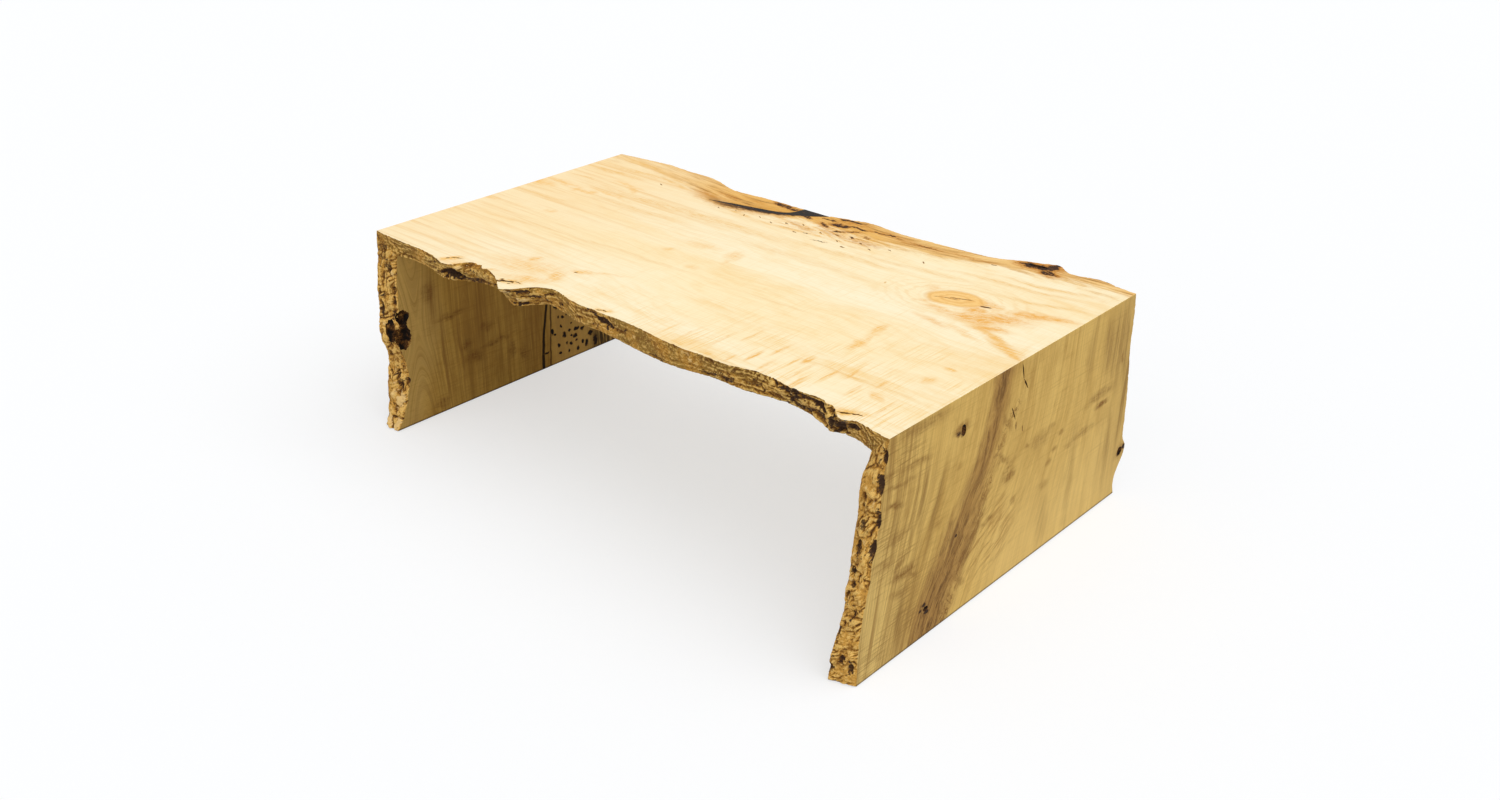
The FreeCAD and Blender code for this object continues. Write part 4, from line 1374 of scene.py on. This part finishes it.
# %% Marks of the top's natural edges
# Rows of (place, depth, half long, half tall, lift), in mm, and bark or chip with its amount.
MARKS = {}
MARKS["top_front"] = [
    (-382, 25, 25, 16, -13, "bark", 1.0), (-381, 33, 13, 9, 12),
    (-356, 7, 6, 6, 4, "chip", 0.9), (-312, 15, 42, 16, 13), (-300, 31, 34, 4, -4, "bark", 0.8),
    (-243, 14, 7, 18, -6, "bark", 0.8), (-212, 5, 10, 6, 5, "chip", 0.7),
    (-193, 7, 12, 4, -3, "bark", 1.0), (-179, 20, 11, 5, -4, "bark", 1.0),
    (-203, 36, 12, 5, -4, "bark", 1.0), (-197, 27, 8, 6, 6, "chip", 0.8),
    (-165, 30, 10, 4, -3, "bark", 0.9), (-150, 11, 10, 4, -3, "bark", 0.9),
    (-128, 23, 8, 4, -3, "bark", 0.8), (-142, 35, 9, 4, -3, "bark", 0.8),
    (-340, 36, 50, 7, -4, "bark", 0.8), (-320, 16, 62, 22, 0, "bark", 0.46),
    (482, 3, 28, 14, 5), (-275, 31, 28, 7, -4, "bark", 0.7), (-170, 16, 34, 14, 5),
    (-103, 10, 9, 3, -2, "bark", 0.7), (-69, 27, 8, 3, -2, "bark", 0.7),
    (-29, 3, 10, 4, -3, "bark", 0.7), (-8, 14, 20, 9, -8, "bark", 1.0),
    (30, 22, 18, 6, -3, "bark", 0.7), (67, 18, 5, 5, 3, "chip", 0.6),
    (197, 16, 7, 6, 4, "chip", 0.7), (186, 4, 9, 4, 3, "chip", 0.6),
    (164, 2, 8, 4, -2, "bark", 0.6), (221, 2, 8, 4, -2, "bark", 0.6),
    (241, 4, 9, 5, -3, "bark", 0.7), (118, 38, 16, 4, -3, "bark", 0.8),
    (225, 36, 14, 4, -3, "bark", 0.8), (262, 33, 16, 5, -3, "bark", 0.9),
    (300, 25, 10, 4, -3, "bark", 0.8), (324, 21, 14, 4, -3, "bark", 0.8),
    (350, 30, 18, 4, -2, "bark", 0.6), (392, 13, 20, 12, -5, "bark", 1.0),
    (393, 13, 6, 5, 7, "chip", 0.6), (425, 8, 28, 6, -4, "bark", 0.9),
    (416, 33, 12, 5, -5, "bark", 0.9), (446, 28, 18, 6, -4, "bark", 0.9), (470, 10, 14, 12, 5),
    (484, 22, 10, 16, 5), (499, 22, 15, 17, -11, "bark", 1.0), (481, 37, 7, 6, 4, "chip", 0.6),
    (528, 11, 12, 8, -5, "bark", 0.9), (512, 6, 12, 4, -3, "bark", 0.9), (450, 18, 22, 5, 3),
    (365, 12, 26, 8, 4),
]
MARKS["top_back"] = [
    (-120, 10, 30, 8, -4, "bark", 0.9), (430, 10, 24, 14, -6, "bark", 1.0),
    (30, 8, 30, 10, -3, "bark", 0.8),
]
print("marks on the top's edges:", sum(len(rows) for rows in MARKS.values()))

# %% Marks of the left end's natural edges
MARKS["left_front"] = [
    (378, 10, 26, 9, -3, "bark", 0.7), (345, 5, 20, 6, -4, "bark", 0.7),
    (318, 16, 22, 7, -3, "bark", 0.5), (360, 37, 6, 4, 3, "chip", 0.8),
    (325, 34, 7, 4, 3, "chip", 0.8), (298, 7, 5, 4, 2, "chip", 0.7), (350, 24, 24, 8, 5),
    (303, 25, 14, 9, 5), (291, 36, 10, 5, -5, "bark", 0.9), (273, 13, 9, 4, -4, "bark", 0.8),
    (283, 4, 8, 4, -4, "bark", 0.8), (258, 24, 14, 10, 5), (217, 11, 18, 10, 7),
    (222, 16, 6, 4, 3, "chip", 0.6), (195, 18, 16, 10, 7), (172, 12, 13, 9, 5),
    (158, 26, 12, 7, 4), (184, 27, 8, 3, -3, "bark", 0.7), (113, 22, 11, 6, -6, "bark", 0.9),
    (87, 28, 12, 6, -6, "bark", 0.9), (98, 40, 9, 4, -5, "bark", 0.9), (132, 14, 12, 9, 5),
    (101, 14, 10, 8, 5), (120, 17, 5, 4, 3, "chip", 0.7), (56, 30, 16, 11, 5, "chip", 0.9),
    (66, 14, 14, 9, 4, "chip", 0.6), (48, 36, 5, 4, 2, "chip", 0.8),
    (16, 10, 14, 9, 4, "chip", 1.0), (14, 34, 16, 9, 4, "chip", 1.0),
    (36, 20, 9, 5, -5, "bark", 0.8), (72, 24, 8, 3, -3, "bark", 0.7),
    (28, 32, 6, 3, -3, "bark", 0.7), (143, 36, 8, 4, -4, "bark", 0.7),
    (250, 8, 16, 5, -5, "bark", 0.9), (236, 31, 12, 5, -4, "bark", 0.9),
    (150, 8, 12, 5, -4, "bark", 0.8), (332, 27, 20, 5, -4, "bark", 0.8),
    (364, 19, 22, 5, -4, "bark", 0.8), (265, 34, 12, 5, -4, "bark", 0.8),
]
MARKS["left_back"] = []
print("marks on the left end's front edge:", len(MARKS["left_front"]))

# %% Marks of the right end's natural edges
MARKS["right_front"] = [
    (370, 4, 18, 7, -6, "bark", 1.0), (328, 2, 14, 6, -6, "bark", 1.0),
    (270, 2, 18, 5, -6, "bark", 1.0), (225, 2, 18, 6, -7, "bark", 1.0),
    (302, 31, 8, 4, -4, "bark", 0.85), (284, 31, 6, 4, -3, "bark", 0.85),
    (260, 28, 9, 4, -4, "bark", 0.85), (223, 30, 11, 5, -5, "bark", 0.9),
    (180, 33, 8, 5, -4, "bark", 0.9), (159, 29, 7, 5, -4, "bark", 0.9),
    (140, 36, 8, 5, -5, "bark", 0.9), (117, 18, 7, 4, -4, "bark", 0.9),
    (96, 33, 7, 4, -3, "bark", 0.85), (80, 40, 10, 4, -4, "bark", 0.8),
    (42, 26, 10, 6, -5, "bark", 0.9), (23, 40, 11, 4, -5, "bark", 0.8),
    (33, 8, 11, 5, -5, "bark", 0.9), (338, 12, 16, 9, 6), (285, 22, 14, 8, 5),
    (258, 16, 18, 10, 5), (310, 18, 10, 8, 4), (240, 28, 9, 8, 4), (205, 14, 14, 10, 5),
    (190, 24, 9, 7, 4), (172, 12, 12, 9, 4), (150, 18, 12, 9, 4), (128, 30, 10, 8, 4),
    (105, 16, 14, 10, 4), (70, 26, 14, 10, 4), (55, 10, 12, 9, 4),
    (165, 37, 5, 4, 3, "chip", 0.7), (316, 27, 5, 4, 3, "chip", 0.7),
    (246, 37, 4, 4, 3, "chip", 0.7), (204, 37, 4, 3, 3, "chip", 0.7),
    (130, 40, 5, 3, 2, "chip", 0.6), (296, 12, 8, 4, 2, "chip", 0.6),
    (232, 22, 4, 3, 2, "chip", 0.7), (104, 39, 4, 3, 2, "chip", 0.7),
    (148, 40, 5, 3, 2, "chip", 0.7),
]
MARKS["right_back"] = [
    (88, 10, 22, 12, -4, "bark", 0.9),
]
print("marks on the right end's front edge:", len(MARKS["right_front"]))

# %% Weather all six strips
strips = {}
for edge, (node, side, out) in EDGES.items():
    strip, order = laid[edge]
    weather(strip, order, side, out, CHARACTER[edge], MARKS[edge])
    strips[edge] = strip

# %% [markdown]
# ## Boards, from two edges each
# The planed faces of a board are flat and lie between its two natural edges. They could be
# cut from a block, but the edges are already there: joining the front and the back strip and
# bridging their two rims makes both planed faces and both ends at once, with nothing left open.


# %% Hands for editing
def only(*items):
    """Select these objects alone and make the first one active."""
    bpy.ops.object.select_all(action="DESELECT")
    for item in items:
        item.select_set(True)
    bpy.context.view_layer.objects.active = items[0]


def open_mesh(item):
    """Start editing one object, with all of its mesh selected."""
    only(item)
    bpy.ops.object.mode_set(mode="EDIT")
    bpy.ops.mesh.select_all(action="SELECT")


def close_mesh():
    bpy.ops.object.mode_set(mode="OBJECT")


def paint(item, *finishes):
    """Give an object these finishes and no others."""
    item.data.materials.clear()
    for finish in finishes:
        item.data.materials.append(finish)


print("strips to join:", len(strips))

# %% Bridge the edges into boards
# A planed face runs from edge to edge, so it is wider than this.
PLANED_WIDTH = 0.3
PLANED, NATURAL = 0, 1
boards = {}
for name, finish in (("top", maple_top), ("left", maple_left), ("right", maple_right)):
    board = strips[f"{name}_front"]
    only(board, strips[f"{name}_back"])
    bpy.ops.object.join()
    board.name = f"{name}_board"
    board.data.name = board.name
    open_mesh(board)
    bpy.ops.mesh.select_mode(type="EDGE")
    bpy.ops.mesh.select_all(action="DESELECT")
    bpy.ops.mesh.select_non_manifold()
    bpy.ops.mesh.bridge_edge_loops()
    bpy.ops.mesh.select_all(action="SELECT")
    bpy.ops.mesh.normals_make_consistent(inside=False)
    close_mesh()
    paint(board, finish, natural_edge, shaded_hole_wall)
    across_board = points_of(board)[:, 1]
    planed = 0
    for face in board.data.polygons:
        widths = [across_board[point] for point in face.vertices]
        flat = max(widths) - min(widths) > PLANED_WIDTH
        face.material_index = PLANED if flat else NATURAL
        planed += flat
    boards[name] = board
    print(board.name, "has", len(board.data.polygons), "faces,", planed, "of them planed")

# %% [markdown]
# ## Eased corners, mortises and holes
# A maker takes the sharpness off the two mitred corners with a plane. A bisect with a slanted
# plane does the same, and fills the cut. The mortises for the loose tenons, the crack, the
# rotten holes and the small splits are all cut with Boolean differences, because each one is
# a solid piece taken out of a solid board.

# %% Ease the mitred corners
EASE = 0.0007
for name, sides in (("top", (-1, 1)), ("left", (-1,)), ("right", (1,))):
    for side in sides:
        open_mesh(boards[name])
        bpy.ops.mesh.bisect(
            plane_co=(side * (HALF_LENGTH - EASE), 0, HEIGHT), plane_no=(side, 0, 1),
            use_fill=True, clear_outer=True, threshold=0.000001,
        )
        close_mesh()
    print(boards[name].name, "has", len(boards[name].data.polygons), "faces once eased")


# %% A Boolean cut, and copies of CAD nodes to cut with
def cut(board, cutter, finish):
    """Take a cutter out of a board; the walls of the hole get their own finish."""
    paint(cutter, finish)
    before = len(board.data.polygons)
    only(board)
    bite = board.modifiers.new("bite", "BOOLEAN")
    bite.operation = "DIFFERENCE"
    bite.solver = "MANIFOLD"
    bite.material_mode = "TRANSFER"
    bite.object = cutter
    bpy.ops.object.modifier_apply(modifier=bite.name)
    print(board.name, "gains", len(board.data.polygons) - before, "faces from", cutter.name)
    bpy.data.objects.remove(cutter)


def twin(item, name):
    """A copy of an object with its own mesh."""
    copy = item.copy()
    copy.data = item.data.copy()
    copy.name = name
    scene.collection.objects.link(copy)
    return copy


def copy_of(node, name):
    """A loose copy of a CAD node with a merged mesh."""
    copy = twin(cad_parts[node], name)
    copy.parent = None
    for key in [key for key in copy.keys() if key.startswith("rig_")]:
        del copy[key]
    open_mesh(copy)
    bpy.ops.mesh.remove_doubles(threshold=0.00001)
    close_mesh()
    return copy


print("boards to cut:", ", ".join(board.name for board in boards.values()))

# %% Mortises for the loose tenons
TENON_PLAY = 0.0001
TENONS = 6
for joint in ("left", "right"):
    for name in ("top", joint):
        numbers = range(1, TENONS + 1)
        pegs = [copy_of(f"{joint}_mitre_tenon_{n}", f"{joint}_peg_{n}") for n in numbers]
        only(*pegs)
        bpy.ops.object.join()
        for point in pegs[0].data.vertices:
            point.co += point.normal * TENON_PLAY
        cut(boards[name], pegs[0], tenon_wood)

# %% The crack and its resin
# The resin's outline is ragged by noise. Its twin, drawn out upwards and past the back edge,
# cuts the crack.
RAGGED, RAGGED_SIZE = 0.0013, 0.011
SKIN = 0.0005
ABOVE = 0.004
BACK_FROM, BACK_PAST = 0.300, 0.04
resin = copy_of("crack_fill", "crack_resin")
open_mesh(resin)
bpy.ops.mesh.dissolve_limited(angle_limit=math.radians(2))
bpy.ops.mesh.select_all(action="SELECT")
bpy.ops.mesh.subdivide(number_cuts=3)
close_mesh()
for point in resin.data.vertices:
    here = Vector((point.co.x, point.co.y, 0)) / RAGGED_SIZE
    push = noise.noise_vector(here) + 0.5 * noise.noise_vector(here * 2.3)
    point.co.x += RAGGED * push.x
    point.co.y += RAGGED * push.y
opening = twin(resin, "crack_opening")
for point in opening.data.vertices:
    if point.co.z > HEIGHT - SKIN:
        point.co.z = HEIGHT + ABOVE
    if point.co.y > BACK_FROM:
        point.co.y += BACK_PAST
cut(boards["top"], opening, shaded_hole_wall)
paint(resin, black_resin)
print("resin has", len(resin.data.polygons), "faces")


# %% A lumpy cutter for holes
def rough_ball(name, centre, size, turned, lumps):
    """An oval cutter, in mm, with a lumpy skin: broad swells, and grit on them."""
    bpy.ops.object.select_all(action="DESELECT")
    bpy.ops.mesh.primitive_ico_sphere_add(subdivisions=4, radius=1.0, location=(0, 0, 0))
    ball = bpy.context.object
    ball.name = name
    ball.scale = [value * MM for value in size]
    ball.rotation_euler = [math.radians(angle) for angle in turned]
    ball.location = [value * MM for value in centre]
    bpy.ops.object.transform_apply(location=True, rotation=True, scale=True)
    for kind, noise_size, share in (("swell", 0.011, 1.0), ("grit", 0.0035, 0.35)):
        skin = bpy.data.textures.new(f"{name}_{kind}", "CLOUDS")
        skin.noise_scale = noise_size
        skin.noise_depth = 3
        swell = ball.modifiers.new(kind, "DISPLACE")
        swell.texture = skin
        swell.texture_coords = "GLOBAL"
        swell.strength = share * lumps * MM
        bpy.ops.object.modifier_apply(modifier=swell.name)
    return ball


print("textures before the holes:", len(bpy.data.textures))

# %% Rotten holes, chips and splits
# Rows of (board, centre, half sizes, turned about X, Y and Z, lumps).
HOLES = [
    ("left", (-559, -320, 190), (20, 16, 26), (0, 0, 0), 13),
    ("left", (-560, -318, 231), (17, 13, 17), (0, 0, 0), 11),
    ("left", (-575, -336, 204), (9, 10, 24), (0, 0, 0), 8),
    ("top", (410, 356, 400), (19, 5, 5), (0, 0, 8), 7),
    ("right", (600, -145, 339), (4, 6, 10), (10, 0, 0), 2),
    ("right", (600, 12, 380), (2.5, 1.2, 15), (16, 0, 0), 0.6),
    ("right", (600, 24, 354), (2.5, 1.1, 13), (34, 0, 0), 0.6),
    ("right", (600, -5, 312), (2.2, 1.0, 15), (28, 0, 0), 0.5),
    ("right", (600, -214, 53), (4, 6, 4), (0, 0, 0), 3),
    ("right", (600, 379, 88), (5, 9, 8), (30, 0, 0), 4),
    ("top", (-231, -322, 400), (11, 2.2, 3), (0, 0, 33), 3),
    ("top", (508, -312, 400), (10, 1.4, 3), (0, 0, 28), 2),
    ("top", (443, 141, 400), (10, 1.6, 2), (0, 0, 16), 0.6),
]
for count, (name, centre, size, turned, lumps) in enumerate(HOLES):
    cut(boards[name], rough_ball(f"hole_{count}", centre, size, turned, lumps), shaded_hole_wall)

# %% [markdown]
# ## Felt under the feet
# Six thin felt discs keep the feet off the floor and leave a thin gap under both ends; the
# dark line along the foot of each end is painted shadow. A cylinder is turned into a punched
# disc with a soft, bevelled rim, and each copy gets its own mesh, because the export writes
# every piece by itself.

# %% Felt discs
RIM = 0.0005
FELT_SMOOTH = 50
felts = []
for name in sorted(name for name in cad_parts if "felt_glide" in name):
    low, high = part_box(name)
    bpy.ops.object.select_all(action="DESELECT")
    bpy.ops.mesh.primitive_cylinder_add(
        vertices=72, radius=(high.x - low.x) / 2, depth=high.z - low.z,
        location=(low + high) / 2,
    )
    disc = bpy.context.object
    disc.name = name.replace("felt_glide", "felt_disc")
    bpy.ops.object.transform_apply(location=True, rotation=True, scale=True)
    bpy.ops.object.mode_set(mode="EDIT")
    bpy.ops.mesh.select_mode(type="FACE")
    bpy.ops.mesh.select_all(action="DESELECT")
    close_mesh()
    for face in disc.data.polygons:
        face.select = abs(face.normal.z) > 0.9
    bpy.ops.object.mode_set(mode="EDIT")
    bpy.ops.mesh.bevel(offset=RIM, segments=3, profile=0.5, affect="EDGES")
    close_mesh()
    bpy.ops.object.shade_smooth_by_angle(angle=math.radians(FELT_SMOOTH))
    paint(disc, felt)
    felts.append((disc, name))
print("felt discs:", len(felts), "with", len(felts[0][0].data.polygons), "faces each")

# %% [markdown]
# ## Every piece on the frame
# Each new piece rides on the one body of the part and stands for its CAD node. The tenons
# are right as the CAD has them, so they stay and only get their wood.

# %% Dress the frame
BOARD_SMOOTH = 55
for name, node in (("top", "top_slab"), ("left", "left_leg_slab"), ("right", "right_leg_slab")):
    board = boards[name]
    only(board)
    bpy.ops.object.shade_smooth_by_angle(angle=math.radians(BOARD_SMOOTH))
    for face in board.data.polygons:
        if face.material_index == PLANED:
            face.use_smooth = False
    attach(board, "root")
    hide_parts(node)
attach(resin, "root")
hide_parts("crack_fill")
for disc, node in felts:
    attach(disc, "root")
    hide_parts(node)
for name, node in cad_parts.items():
    if "tenon" in name:
        node.material_slots[0].material = tenon_wood
print("pieces:", len(boards) + 1 + len(felts))

# %% Sizes, and the end
low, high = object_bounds()
print("visual box, metres:", [round(value, 4) for value in (*low, *high)])
